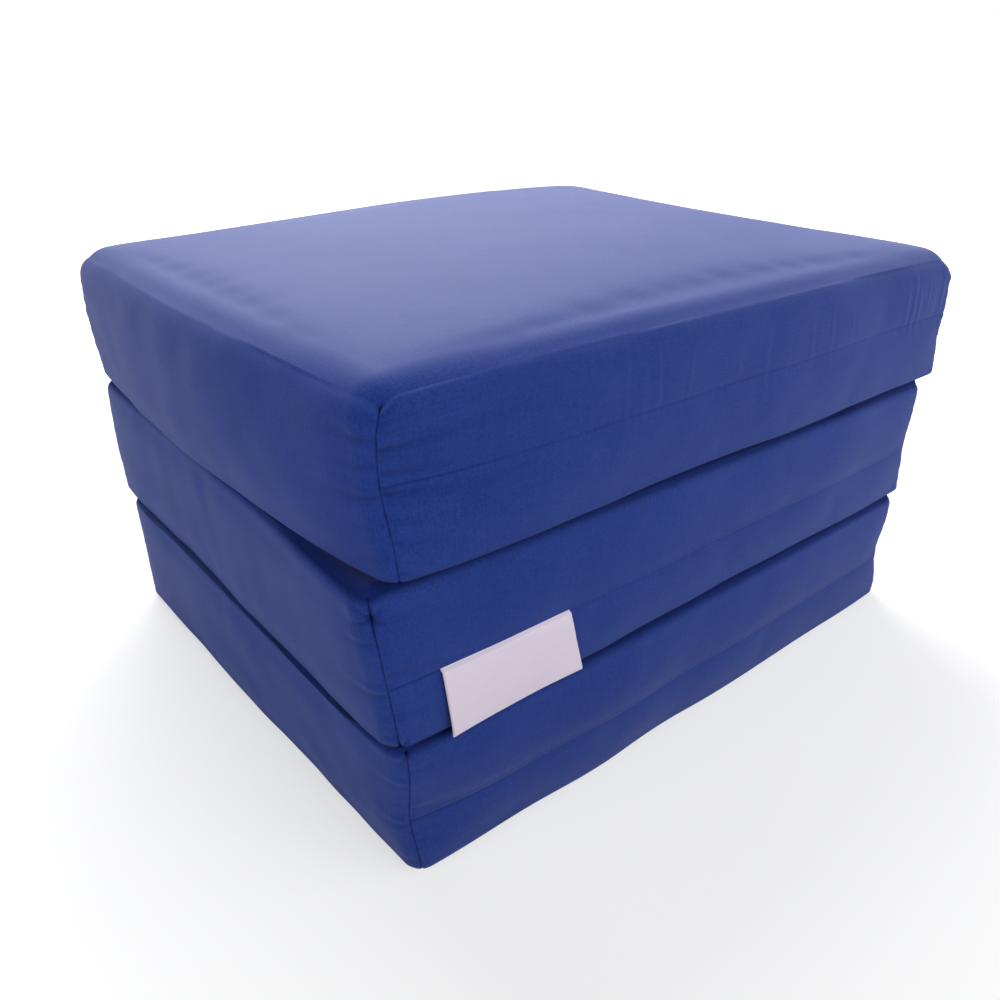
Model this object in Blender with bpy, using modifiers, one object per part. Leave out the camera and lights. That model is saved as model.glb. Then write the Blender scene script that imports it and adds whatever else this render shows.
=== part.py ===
"""Folding foam mattress, folded up into a stack.

Three equal foam panels lie on each other. Each foam core sits in a sewn fabric cover that
closes with a zip along its rear side. A fabric hinge joins the bottom and middle panels at the
left end, and another joins the middle and top panels at the right end, so that the stack opens
in a Z into one long bed. A fabric tab hangs from the front seam of the middle cover.

X runs along the front, Y towards the rear and Z up. The origin lies on the floor under the
middle of the stack. All lengths are in metres.
"""

import math
from dataclasses import dataclass

import bmesh
import bpy
from mathutils import Matrix

# Panel body, between the corners of its cover
PANEL_LENGTH = 0.600
PANEL_WIDTH = 0.492
PANEL_THICKNESS = 0.119
PANEL_GAP = 0.0006

# How far the cover swells past its corners
END_BULGE = 0.010
SIDE_BULGE = 0.005
HINGE_REACH = 0.009
TOP_CROWN = 0.008
CORNER_DROP = 0.006
SEAM_TUCK = 0.0012

# Roundings of the panels' edges
OPEN_EDGE_RADIUS = 0.010
TOP_EDGE_RADIUS = 0.016
FLOOR_EDGE_RADIUS = 0.008
HINGE_EDGE_RADIUS = 0.004
CORNER_RADIUS = 0.010
ROUNDING_SPARE = 0.002
ROUNDING_SEGMENTS = 4

# Cover fabric, and the air that touching pieces keep between them
FABRIC = 0.001
CLEARANCE = 0.0003

# Height of each panel's side seam, as a share of the panel's thickness
BOTTOM_SEAM_SHARE = 0.42
MIDDLE_SEAM_SHARE = 0.42
TOP_SEAM_SHARE = 0.52

# Zip in the rear side
ZIP_END_MARGIN = 0.040
TAPE_WIDTH = 0.011
TAPE_THICKNESS = 0.0006
TAPE_REVEAL = 0.0009
TAPE_MARGIN = 0.002
TOOTH_ROW_HEIGHT = 0.0022
TOOTH_ROW_DEPTH = 0.0018
STOP_LENGTH = 0.003

# Zip slider
SLIDER_LENGTH = 0.011
SLIDER_WIDTH = 0.0086
SLIDER_PLATE = 0.0012
SLIDER_WEB = 0.0006
SLIDER_WEB_LENGTH = 0.006
SLIDER_ROUNDING = 0.002
BRIDGE_LENGTH = 0.0054
BRIDGE_WIDTH = 0.0016
BRIDGE_BAR = 0.0009
BRIDGE_OPENING = 0.0021

# Pull tab, which turns on its own end bar inside the slider's bridge
PULL_LENGTH = 0.024
PULL_HEAD_WIDTH = 0.0052
PULL_TIP_WIDTH = 0.0068
PULL_THICKNESS = 0.001
PULL_WINDOW_LENGTH = 0.0034
PULL_WINDOW_WIDTH = 0.0026

# Fabric hinges
AXIS_CLEARANCE = 0.001
FLAP_THICKNESS = 0.0008
FLAP_SEAT_MARGIN = 0.0004

# Label tab on the middle cover
LABEL_WIDTH = 0.105
LABEL_DROP = 0.053
LABEL_THICKNESS = 0.0008
LABEL_LIFT = 0.0035
LABEL_FROM_CORNER = 0.034

# Where a panel's faces are divided, as shares of half the zip and of half the width
LENGTH_CUT_SHARES = (1 / 3, 2 / 3, 1.0)
SNAP_SHARE = 0.0003
WIDTH_CUT_SHARES = (1 / 3, 2 / 3)
LABEL_ROWS = 6
LABEL_COLUMNS = 8

# Sizes that follow from the ones above
HALF_LENGTH = PANEL_LENGTH / 2
HALF_WIDTH = PANEL_WIDTH / 2
PANEL_PITCH = PANEL_THICKNESS + PANEL_GAP
SIDE_REACH = HALF_WIDTH + SIDE_BULGE
HINGE_HALF = HALF_WIDTH - TOP_EDGE_RADIUS - ROUNDING_SPARE
AXIS_REACH = HALF_LENGTH + END_BULGE + AXIS_CLEARANCE
CORE_INSET = FABRIC + CLEARANCE

ROW_INNER = SLIDER_WEB / 2 + CLEARANCE
ROW_OUTER = ROW_INNER + TOOTH_ROW_HEIGHT
TAPE_INNER = ROW_OUTER + CLEARANCE
TAPE_OUTER = TAPE_INNER + TAPE_WIDTH
SLOT_HALF = TAPE_INNER + TAPE_REVEAL
BAND_HALF = TAPE_OUTER + TAPE_MARGIN
ZIP_HALF = HALF_LENGTH - ZIP_END_MARGIN
ROW_HALF = ZIP_HALF - STOP_LENGTH - 2 * CLEARANCE

# Depths are measured inwards from the outside of the rear side
TAPE_FRONT = FABRIC + CLEARANCE
TAPE_BACK = TAPE_FRONT + TAPE_THICKNESS
ROW_FRONT = TAPE_BACK - TOOTH_ROW_DEPTH
INNER_PLATE_FRONT = TAPE_BACK + CLEARANCE
INNER_PLATE_BACK = INNER_PLATE_FRONT + SLIDER_PLATE
CORE_REAR_INSET = INNER_PLATE_BACK + CLEARANCE
OUTER_PLATE_FRONT = -(CLEARANCE + SLIDER_PLATE)
BRIDGE_FRONT = OUTER_PLATE_FRONT - BRIDGE_OPENING - BRIDGE_BAR
PULL_AXIS_DEPTH = OUTER_PLATE_FRONT - BRIDGE_OPENING / 2

SLIDER_REST = ROW_HALF - SLIDER_LENGTH / 2


@dataclass(frozen=True)
class Panel:
    """One foam panel of the stack and how its edges are rounded."""

    name: str
    level: int
    seam_share: float
    lower_radius: float
    upper_radius: float
    lower_hinge_side: int = 0
    upper_hinge_side: int = 0
    crown: float = 0.0
    corner_drop: float = 0.0

    @property
    def base(self):
        """Height of the panel's underside."""
        return self.level * PANEL_PITCH

    @property
    def seam_height(self):
        """Height of the seam round the panel's sides."""
        return self.base + self.seam_share * PANEL_THICKNESS

    def has_hinge(self, side, at_top):
        """Whether the edge at this end, on the upper or lower face, carries a hinge."""
        hinge_side = self.upper_hinge_side if at_top else self.lower_hinge_side
        return hinge_side == side

    def edge_radius(self, side, at_top):
        """Rounding of an upper or lower edge; side is 0 on the long sides."""
        if side and self.has_hinge(side, at_top):
            return HINGE_EDGE_RADIUS
        return self.upper_radius if at_top else self.lower_radius


LEFT, RIGHT = -1, 1

PANELS = (
    Panel(
        "bottom",
        0,
        BOTTOM_SEAM_SHARE,
        lower_radius=FLOOR_EDGE_RADIUS,
        upper_radius=OPEN_EDGE_RADIUS,
        upper_hinge_side=LEFT,
    ),
    Panel(
        "middle",
        1,
        MIDDLE_SEAM_SHARE,
        lower_radius=OPEN_EDGE_RADIUS,
        upper_radius=OPEN_EDGE_RADIUS,
        lower_hinge_side=LEFT,
        upper_hinge_side=RIGHT,
    ),
    Panel(
        "top",
        2,
        TOP_SEAM_SHARE,
        lower_radius=OPEN_EDGE_RADIUS,
        upper_radius=TOP_EDGE_RADIUS,
        lower_hinge_side=RIGHT,
        crown=TOP_CROWN,
        corner_drop=CORNER_DROP,
    ),
)


def clear_scene():
    """Remove whatever the file opened with."""
    for item in list(bpy.data.objects):
        bpy.data.objects.remove(item, do_unlink=True)


def make_collection(name):
    """A collection linked to the scene."""
    collection = bpy.data.collections.new(name)
    bpy.context.scene.collection.children.link(collection)
    return collection


def make_material(name, color, roughness, metallic=0.0):
    """A plain Principled material."""
    material = bpy.data.materials.new(name)
    material.use_nodes = True
    shader = material.node_tree.nodes["Principled BSDF"]
    shader.inputs["Base Color"].default_value = (*color, 1.0)
    shader.inputs["Roughness"].default_value = roughness
    shader.inputs["Metallic"].default_value = metallic
    return material


def add_object(name, mesh, material, collection, location=(0, 0, 0)):
    """An object for a mesh, in the given collection."""
    item = bpy.data.objects.new(name, mesh)
    item.location = location
    mesh.materials.clear()
    mesh.materials.append(material)
    collection.objects.link(item)
    return item


def mesh_from(name, bm):
    """A mesh made from a bmesh, which is freed."""
    bmesh.ops.recalc_face_normals(bm, faces=bm.faces)
    mesh = bpy.data.meshes.new(name)
    bm.to_mesh(mesh)
    bm.free()
    return mesh


def box_bmesh(low, high):
    """A box between two corners."""
    bm = bmesh.new()
    bmesh.ops.create_cube(bm, size=1.0)
    size = [b - a for a, b in zip(low, high)]
    centre = [(a + b) / 2 for a, b in zip(low, high)]
    bmesh.ops.transform(
        bm,
        matrix=Matrix.Translation(centre) @ Matrix.Diagonal((*size, 1.0)),
        verts=bm.verts,
    )
    return bm


def add_solidify(item, thickness):
    """Give an open surface a wall on its inner side."""
    wall = item.modifiers.new("wall", "SOLIDIFY")
    wall.thickness = thickness
    wall.offset = -1.0
    wall.use_even_offset = True


def belly(panel, rise):
    """How far a side swells at a share of the thickness: flat round the seam, nothing at the edges."""
    band = BAND_HALF / PANEL_THICKNESS
    beyond = abs(rise - panel.seam_share) - band
    if beyond <= 0:
        return 1.0
    room = (1 - panel.seam_share if rise > panel.seam_share else panel.seam_share) - band
    return 1 - (beyond / room) ** 2


def end_swell(panel, side, across, rise):
    """How far an end face stands out past the panel's length."""
    swell = END_BULGE * (1 - across**2) * belly(panel, rise)
    if rise in (0.0, 1.0) and panel.has_hinge(side, at_top=rise == 1.0):
        hinge_share = HINGE_HALF / HALF_WIDTH
        beyond = max(0.0, abs(across) - hinge_share) / (1 - hinge_share)
        swell += HINGE_REACH * (1 - beyond)
    return swell


def side_swell(panel, along, rise):
    """How far a long side stands out: straight over the zip, drawn in at the corners."""
    zip_share = ZIP_HALF / HALF_LENGTH
    beyond = max(0.0, abs(along) - zip_share) / (1 - zip_share)
    return SIDE_BULGE * (1 - beyond**2) * belly(panel, rise)


def seam_tuck(panel, along, across, rise):
    """How far the front seam pulls the cover in."""
    on_seam = across == -1.0 and abs(along) < 1.0 and abs(rise - panel.seam_share) < SNAP_SHARE
    return SEAM_TUCK if on_seam else 0.0


def top_lift(panel, along, across):
    """How far the upper face rises over the panel's thickness."""
    crown = panel.crown * (1 - along**2) * (1 - across**2)
    drop = panel.corner_drop * abs(along * across) ** 3
    return crown - drop


def cut_cage(bm, axis, places):
    """Cut the unit box across one axis at the given places."""
    normal = [0.0, 0.0, 0.0]
    normal[axis] = 1.0
    for place in places:
        point = [0.0, 0.0, 0.0]
        point[axis] = place
        geometry = bm.verts[:] + bm.edges[:] + bm.faces[:]
        bmesh.ops.bisect_plane(bm, geom=geometry, plane_co=point, plane_no=normal)


def unit_cage(panel):
    """A box from -1 to 1, cut where the panel's shape changes."""
    bm = bmesh.new()
    bmesh.ops.create_cube(bm, size=2.0)
    along = [share * ZIP_HALF / HALF_LENGTH for share in LENGTH_CUT_SHARES]
    cut_cage(bm, 0, [s * sign for s in along for sign in (-1, 1)] + [0.0])
    across = (*WIDTH_CUT_SHARES, HINGE_HALF / HALF_WIDTH)
    cut_cage(bm, 1, [s * sign for s in across for sign in (-1, 1)] + [0.0])
    seam = 2 * panel.seam_share - 1
    rise = [2 * half / PANEL_THICKNESS for half in (BAND_HALF, SLOT_HALF)]
    cut_cage(bm, 2, [seam + s * sign for s in rise for sign in (-1, 1)] + [seam])
    return bm


def open_zip_slot(bm, panel):
    """Take out the rear faces between the two edges of the zip's slot."""
    seam = 2 * panel.seam_share - 1
    found = []
    for face in bm.faces:
        along, across, rise = face.calc_center_median()
        in_slot = abs(rise - seam) < 2 * SLOT_HALF / PANEL_THICKNESS
        if across > 1 - SNAP_SHARE and in_slot and abs(along) < ZIP_HALF / HALF_LENGTH:
            found.append(face)
    bmesh.ops.delete(bm, geom=found, context="FACES")


def sign_at(value):
    """-1 or 1 on the unit box's faces, and 0 between them."""
    return int(value) if abs(value) == 1.0 else 0


def rounding_of(panel, edge):
    """Radius of an edge of the unit box, or 0 for an edge within a face."""
    a, b = (vert.co for vert in edge.verts)
    end, side, level = (sign_at(p) if p == q else 0 for p, q in zip(a, b))
    if end and side:
        return CORNER_RADIUS
    if level and (end or side):
        return panel.edge_radius(end, at_top=level > 0)
    return 0.0


def panel_mesh(name, panel, inset=0.0, rear_inset=0.0, slotted=False):
    """The panel's outer form, or the same form drawn in on all sides."""
    bm = unit_cage(panel)
    if slotted:
        open_zip_slot(bm, panel)
    for vert in bm.verts:
        for axis, value in enumerate(vert.co):
            if abs(abs(value) - 1) < SNAP_SHARE:
                vert.co[axis] = math.copysign(1.0, value)
    weights = bm.edges.layers.float.new("bevel_weight_edge")
    widest = max(panel.lower_radius, panel.upper_radius)
    for edge in bm.edges:
        edge[weights] = rounding_of(panel, edge) / widest
    for vert in bm.verts:
        along, across, level = vert.co
        rise = (1 + level) / 2
        end = math.copysign(1, along)
        x = along * (HALF_LENGTH - inset + end_swell(panel, end, across, rise))
        wall = rear_inset if across > 0 else inset
        reach = side_swell(panel, along, rise) - seam_tuck(panel, along, across, rise)
        y = across * (HALF_WIDTH - wall + reach)
        z = panel.base + inset + rise * (PANEL_THICKNESS - 2 * inset)
        if rise == 1.0:
            z += top_lift(panel, along, across)
        vert.co = (x, y, z)
    return mesh_from(name, bm), widest


def round_edges(item, width):
    """Round the weighted edges of a cage."""
    bevel = item.modifiers.new("rounding", "BEVEL")
    bevel.limit_method = "WEIGHT"
    bevel.width = width
    bevel.segments = ROUNDING_SEGMENTS
    bevel.use_clamp_overlap = False


def make_cover(panel, material, collection):
    """The sewn cover: a fabric shell, open only at its zip."""
    name = f"{panel.name}_cover"
    mesh, width = panel_mesh(name, panel, slotted=True)
    cover = add_object(name, mesh, material, collection)
    round_edges(cover, width)
    add_solidify(cover, FABRIC)
    return cover


def make_core(panel, material, collection):
    """The foam block, which fills the cover up to the back of the zip."""
    name = f"{panel.name}_foam_core"
    mesh, width = panel_mesh(name, panel, CORE_INSET, CORE_REAR_INSET)
    core = add_object(name, mesh, material, collection)
    round_edges(core, width)
    return core


def zip_box(name, panel, along, depth, rise, material, collection):
    """A box in the zip: ranges along X, inwards from the rear side, and up from the seam."""
    low = (along[0], SIDE_REACH - depth[1], panel.seam_height + rise[0])
    high = (along[1], SIDE_REACH - depth[0], panel.seam_height + rise[1])
    return add_object(name, mesh_from(name, box_bmesh(low, high)), material, collection)


def make_zip_tapes(panel, tape_material, tooth_material, collection):
    """Both tapes behind the slot's edges, each with its row of teeth."""
    for word, sign in (("upper", 1), ("lower", -1)):
        tape = sorted((sign * TAPE_INNER, sign * TAPE_OUTER))
        zip_box(
            f"{panel.name}_zip_tape_{word}",
            panel,
            (-ZIP_HALF, ZIP_HALF),
            (TAPE_FRONT, TAPE_BACK),
            tape,
            tape_material,
            collection,
        )
        row = sorted((sign * ROW_INNER, sign * ROW_OUTER))
        zip_box(
            f"{panel.name}_zip_teeth_{word}",
            panel,
            (-ROW_HALF, ROW_HALF),
            (ROW_FRONT, TAPE_BACK),
            row,
            tooth_material,
            collection,
        )


def make_zip_stops(panel, material, collection):
    """The two clips that end the rows of teeth."""
    for word, sign in (("left", -1), ("right", 1)):
        zip_box(
            f"{panel.name}_zip_stop_{word}",
            panel,
            sorted((sign * (ROW_HALF + CLEARANCE), sign * (ZIP_HALF - CLEARANCE))),
            (ROW_FRONT, TAPE_BACK),
            (-ROW_OUTER, ROW_OUTER),
            material,
            collection,
        )


def rounded_plate(low, high, radius):
    """A box whose four edges along Y are rounded."""
    bm = box_bmesh(low, high)
    upright = [e for e in bm.edges if abs(e.verts[0].co.y - e.verts[1].co.y) > radius / 2]
    bmesh.ops.bevel(
        bm,
        geom=upright,
        offset=radius,
        segments=ROUNDING_SEGMENTS,
        affect="EDGES",
        profile=0.5,
    )
    return bm


def join_solids(item, others):
    """Join cutter-like solids to an object with unions."""
    for other in others:
        union = item.modifiers.new(f"join_{other.name}", "BOOLEAN")
        union.operation = "UNION"
        union.solver = "EXACT"
        union.object = other


def make_slider(panel, material, collection, helpers):
    """The zip's slider: two plates, the web between the rows, and the bridge that holds the pull."""
    name = f"{panel.name}_zip_slider"
    overlap = SLIDER_PLATE / 2

    def solid(word, along, depth, half_height, rounded=False):
        """One of the slider's solids; its place is in the slider's own frame."""
        low = (along[0], -depth[1], -half_height)
        high = (along[1], -depth[0], half_height)
        bm = rounded_plate(low, high, SLIDER_ROUNDING) if rounded else box_bmesh(low, high)
        return mesh_from(f"{name}_{word}", bm)

    plate = (-SLIDER_LENGTH / 2, SLIDER_LENGTH / 2)
    web = (-SLIDER_WEB_LENGTH / 2, SLIDER_WEB_LENGTH / 2)
    bridge = (-BRIDGE_LENGTH / 2, BRIDGE_LENGTH / 2)
    legs = (bridge[0] + BRIDGE_BAR, bridge[1] - BRIDGE_BAR)
    shapes = (
        ("inner_plate", plate, (INNER_PLATE_FRONT, INNER_PLATE_BACK), SLIDER_WIDTH / 2, True),
        ("web", web, (-CLEARANCE - overlap, INNER_PLATE_FRONT + overlap), SLIDER_WEB / 2, False),
        ("leg_a", (bridge[0], legs[0]), (BRIDGE_FRONT, -CLEARANCE - overlap), BRIDGE_WIDTH / 2, False),
        ("leg_b", (legs[1], bridge[1]), (BRIDGE_FRONT, -CLEARANCE - overlap), BRIDGE_WIDTH / 2, False),
        ("bar", bridge, (BRIDGE_FRONT, BRIDGE_FRONT + BRIDGE_BAR), BRIDGE_WIDTH / 2, False),
    )
    origin = (SLIDER_REST, SIDE_REACH, panel.seam_height)
    outer = solid("outer", plate, (OUTER_PLATE_FRONT, -CLEARANCE), SLIDER_WIDTH / 2, True)
    slider = add_object(name, outer, material, collection, origin)
    helper_objects = []
    for word, along, depth, half_height, rounded in shapes:
        mesh = solid(word, along, depth, half_height, rounded)
        helper = add_object(f"{name}_{word}", mesh, material, helpers, origin)
        helper.hide_render = True
        helper.display_type = "WIRE"
        helper_objects.append(helper)
    join_solids(slider, helper_objects)
    return slider


def closed_spline(curve, points):
    """Add one closed outline to a 2D curve."""
    spline = curve.splines.new("POLY")
    spline.points.add(len(points) - 1)
    for place, (x, y) in zip(spline.points, points):
        place.co = (x, y, 0.0, 1.0)
    spline.use_cyclic_u = True


def arc_points(centre, radius, start, end, steps):
    """Points on an arc, by angles in degrees."""
    angles = [math.radians(start + (end - start) * i / steps) for i in range(steps + 1)]
    return [(centre[0] + radius * math.cos(a), centre[1] + radius * math.sin(a)) for a in angles]


def make_pull(panel, material, collection):
    """The pull tab, a flat ring plate whose end bar turns in the slider's bridge."""
    name = f"{panel.name}_zip_pull"
    bar = PULL_THICKNESS / 2
    head = PULL_HEAD_WIDTH / 2
    tip_radius = PULL_TIP_WIDTH / 2
    window = PULL_WINDOW_WIDTH / 2
    curve = bpy.data.curves.new(name, "CURVE")
    curve.dimensions = "2D"
    curve.fill_mode = "BOTH"
    curve.extrude = PULL_THICKNESS / 2
    tip_centre = (-(PULL_LENGTH - tip_radius), 0.0)
    tip = arc_points(tip_centre, tip_radius, 90, 270, 2 * ROUNDING_SEGMENTS)
    closed_spline(curve, [(bar, head), *tip, (bar, -head)])
    far = -(bar + PULL_WINDOW_LENGTH)
    closed_spline(curve, [(-bar, window), (far, window), (far, -window), (-bar, -window)])
    place = (SLIDER_REST, SIDE_REACH - PULL_AXIS_DEPTH, panel.seam_height)
    pull = bpy.data.objects.new(name, curve)
    pull.location = place
    pull.rotation_euler = (math.pi / 2, 0.0, 0.0)
    curve.materials.append(material)
    collection.objects.link(pull)
    return pull


def flap_seat():
    """How far past a hinge edge's rounding a flap may start: where the rounding leaves it room."""
    room = CLEARANCE / 2 + FLAP_THICKNESS + CLEARANCE + FLAP_SEAT_MARGIN - PANEL_GAP / 2
    return math.sqrt(HINGE_EDGE_RADIUS**2 - (HINGE_EDGE_RADIUS - room) ** 2)


def make_hinge(name, side, height, material, collection):
    """One fabric hinge: a flap on each panel, back to back in the crease, meeting at the axis."""
    seat = HALF_LENGTH + HINGE_REACH - HINGE_EDGE_RADIUS + flap_seat()
    along = sorted((side * seat, side * (AXIS_REACH - CLEARANCE)))
    for word, sign in (("lower", -1), ("upper", 1)):
        near = CLEARANCE / 2
        rise = sorted((height + sign * near, height + sign * (near + FLAP_THICKNESS)))
        low = (along[0], -HINGE_HALF, rise[0])
        high = (along[1], HINGE_HALF, rise[1])
        flap = f"{name}_hinge_flap_{word}"
        add_object(flap, mesh_from(flap, box_bmesh(low, high)), material, collection)


def make_label(panel, material, collection):
    """The fabric tab: sewn into the front seam, hanging with its lower edge lifted a little."""
    bm = bmesh.new()
    bmesh.ops.create_grid(bm, x_segments=LABEL_COLUMNS, y_segments=LABEL_ROWS, size=0.5)
    left = -HALF_LENGTH + LABEL_FROM_CORNER
    front = -SIDE_REACH - CLEARANCE - LABEL_THICKNESS
    for vert in bm.verts:
        across, fall = vert.co.x + 0.5, 0.5 - vert.co.y
        x = left + across * LABEL_WIDTH
        y = front - LABEL_LIFT * fall**2
        vert.co = (x, y, panel.seam_height - fall * LABEL_DROP)
    bmesh.ops.recalc_face_normals(bm, faces=bm.faces)
    if next(iter(bm.faces)).normal.y > 0:
        bmesh.ops.reverse_faces(bm, faces=bm.faces)
    mesh = bpy.data.meshes.new("label_tab")
    bm.to_mesh(mesh)
    bm.free()
    label = add_object("label_tab", mesh, material, collection)
    add_solidify(label, LABEL_THICKNESS)
    return label


def main():
    """Build the whole mattress."""
    clear_scene()
    parts = make_collection("folding_mattress")
    helpers = make_collection("joining_solids")
    cover = make_material("cover_fabric", (0.045, 0.070, 0.270), 0.85)
    foam = make_material("foam", (0.83, 0.79, 0.62), 0.95)
    tape = make_material("zip_tape", (0.030, 0.045, 0.190), 0.85)
    teeth = make_material("zip_teeth", (0.030, 0.045, 0.190), 0.45)
    metal = make_material("zip_metal", (0.62, 0.62, 0.64), 0.30, 1.0)
    label = make_material("label_fabric", (0.86, 0.84, 0.92), 0.60)
    for panel in PANELS:
        make_cover(panel, cover, parts)
        make_core(panel, foam, parts)
        make_zip_tapes(panel, tape, teeth, parts)
        make_zip_stops(panel, metal, parts)
        make_slider(panel, metal, parts, helpers)
        make_pull(panel, metal, parts)
    make_hinge("left", LEFT, PANEL_PITCH - PANEL_GAP / 2, cover, parts)
    make_hinge("right", RIGHT, 2 * PANEL_PITCH - PANEL_GAP / 2, cover, parts)
    make_label(PANELS[1], label, parts)


main()
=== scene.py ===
"""Looks of a folding foam mattress, folded up into a stack of three panels.

Each panel's cover is one fine mesh: a soft-edged box that leans and swells as the sewn cover
does, filled by a cloth simulation, and then given its seams, corner gathers and puckers. Zips,
hinge strips and the label are built on the covers. All lengths are in metres. X runs along the
front, Y towards the rear and Z up, as in the frame.
"""

import logging
import math
from collections.abc import Callable, Iterable, Sequence
from dataclasses import dataclass, field, replace
from enum import Enum

import bmesh
import bpy
import numpy as np
from mathutils import Matrix, Vector
from mathutils.bvhtree import BVHTree


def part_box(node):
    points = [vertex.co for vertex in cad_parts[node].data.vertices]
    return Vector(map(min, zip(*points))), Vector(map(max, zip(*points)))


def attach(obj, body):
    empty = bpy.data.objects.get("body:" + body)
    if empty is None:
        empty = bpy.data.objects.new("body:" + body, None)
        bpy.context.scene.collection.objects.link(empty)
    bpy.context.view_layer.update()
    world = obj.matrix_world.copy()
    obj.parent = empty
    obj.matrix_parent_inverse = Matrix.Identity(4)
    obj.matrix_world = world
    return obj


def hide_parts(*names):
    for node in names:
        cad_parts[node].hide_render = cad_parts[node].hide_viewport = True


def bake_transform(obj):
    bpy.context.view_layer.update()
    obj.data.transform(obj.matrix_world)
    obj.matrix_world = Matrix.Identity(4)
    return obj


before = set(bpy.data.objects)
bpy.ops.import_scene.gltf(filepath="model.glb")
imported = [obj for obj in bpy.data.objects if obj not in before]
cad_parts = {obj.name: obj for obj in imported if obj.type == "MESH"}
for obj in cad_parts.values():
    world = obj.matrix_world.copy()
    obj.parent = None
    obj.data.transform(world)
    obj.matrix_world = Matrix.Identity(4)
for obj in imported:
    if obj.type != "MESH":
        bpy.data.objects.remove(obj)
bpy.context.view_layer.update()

LOG = logging.getLogger("folding_mattress")

Array = np.ndarray
Colour = tuple[float, float, float]
Probe = Callable[[Vector, Vector], Vector]

WHITE = (1.0, 1.0, 1.0)

CLOTH_SETTINGS = {
    "quality": 5,
    "mass": 0.2,
    "tension_stiffness": 12.0,
    "compression_stiffness": 12.0,
    "shear_stiffness": 4.0,
    "bending_stiffness": 4.0,
    "use_pressure": True,
}
FINE_SPACING = 0.0017
FINE_BAND = 0.044  # how far in from a panel's ends and sides its mesh is fine
ZIP_BAND_ENDS = (0.034, 0.002)  # where the zip's flat band starts and is full, past its ends
ZIP_BAND_EDGES = (0.040, 0.015)  # likewise, above and below the zip
SEWN_REACH = 0.004  # how far from a sewn line or a pressed rim the cloth is held
SEAM_STEPS = (0.0, 0.0007, 0.0014, 0.0022, 0.0032)  # lines of the fine mesh by a corner seam
FRONT_SEAM_STEPS = (0.0, 0.0016, 0.0032, 0.0038, 0.0042, 0.0047, 0.0054, 0.0066)
SEAM_WAVELENGTHS = (0.31, 0.19, 0.11, 0.068)  # wander of a corner seam, in panel thicknesses
UNEVEN_WAVELENGTHS = (0.240, 0.170, 0.120, 0.085, 0.060, 0.045)
UNEVEN_SHARE = 0.0018  # height of the cloth's slow waves, as a share of their length
GATHER_RELIEF = 1.5
GATHER_SHADE = 520.0  # painted shade at a gather's foot, for each metre of its height
LOWER_RIM_SHADE = (0.0062, 0.0024)  # heights above the lower rim where the painted shade between panels starts and is full
UPPER_RIM_SHADE = (0.0095, 0.0015)  # depths below the upper rim, likewise
FOAM_SPACING = 0.012
FOAM_INSET = 0.0060  # how far the foam lies inside the cover's form
ZIP_INSET = 0.0030  # and how much further behind the zip
SEAM_DEPTH = 0.0008
SHOULDER_LIFT = 0.0003
NOTCH_DEPTH = 0.0016
FRONT_SEAM_DEPTH = 0.0005
GROOVE_DEPTH = 0.0042
ROWS = {"upper": 1.0, "lower": -1.0}  # a zip's two halves, and the side of its seam they are on
STITCH_OFFSET = 0.0088  # from the zip's middle to its lines of stitches
OUTSIDE = 0.40  # distance from the middle at which rays towards the covers start


class Face(Enum):
    """A face of a panel's box: the axis that it closes, and on which side."""

    LEFT = (0, -1)
    RIGHT = (0, 1)
    FRONT = (1, -1)
    REAR = (1, 1)
    BASE = (2, -1)
    CROWN = (2, 1)

    @property
    def axis(self) -> int:
        """Axis that the face closes."""
        return self.value[0]

    @property
    def sign(self) -> int:
        """Side of the box that the face is on."""
        return self.value[1]


class Level(Enum):
    """A panel's place in the stack."""

    BOTTOM = 0
    MIDDLE = 1
    TOP = 2

    @property
    def word(self) -> str:
        """The panel's name in the frame."""
        return self.name.lower()


def smooth_step(low: float, high: float, value: Array) -> Array:
    """Rise smoothly from 0 at low to 1 at high.

    Args:
        low: Where the rise starts; it may lie above high, and the result then falls.
        high: Where the rise ends.
        value: Places to evaluate.

    Returns:
        Values from 0 to 1.
    """
    share = np.clip((value - low) / (high - low), 0.0, 1.0)
    return share * share * (3.0 - 2.0 * share)


def mix(first: Array | float, second: Array | float, share: Array | float) -> Array:
    """Blend linearly from first, at share 0, to second, at share 1."""
    return first + (second - first) * share


def bell(distance: Array, width: float | Array) -> Array:
    """A soft bump: 1 at no distance, falling to nothing past about two widths."""
    return np.exp(-((distance / width) ** 2))


# Shape of the covers


@dataclass(frozen=True)
class Rim:
    """How far an edge stands out past the panel's plain box.

    The first corner is the left or the front one, and the bow is added between the corners.
    """

    first: float
    last: float
    bow: float = 0.0
    power: float = 2.0

    def at(self, along: Array) -> Array:
        """Reach at places along the edge, from -1 at the first corner to 1 at the last."""
        share = (1.0 + along) / 2.0
        return mix(self.first, self.last, share) + self.bow * (1.0 - np.abs(along) ** self.power)


@dataclass(frozen=True)
class Side:
    """A side of a panel: its lower and upper rims, and how far it swells between them."""

    lower: Rim
    upper: Rim
    belly: float = 0.003

    def at(self, along: Array, rise: Array) -> Array:
        """Reach past the plain box.

        Args:
            along: Places along the side, from -1 to 1.
            rise: Share of the panel's thickness, from 0 to 1.

        Returns:
            How far the side stands out at each place.
        """
        swell = 4.0 * rise * (1.0 - rise) * (1.0 - along**2)
        return mix(self.lower.at(along), self.upper.at(along), rise) + self.belly * swell


@dataclass(frozen=True)
class Gather:
    """A short fold that starts at a corner seam and dies out along the side.

    Height is a share of the panel's thickness; the slope lifts the fold as it runs out.
    """

    height: float
    length: float
    width: float
    lift: float
    slope: float = 0.0


@dataclass(frozen=True)
class Pucker:
    """A star of short folds where seams meet."""

    corner: tuple[int, int]
    height: float
    depth: float
    radius: float
    folds: int


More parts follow.
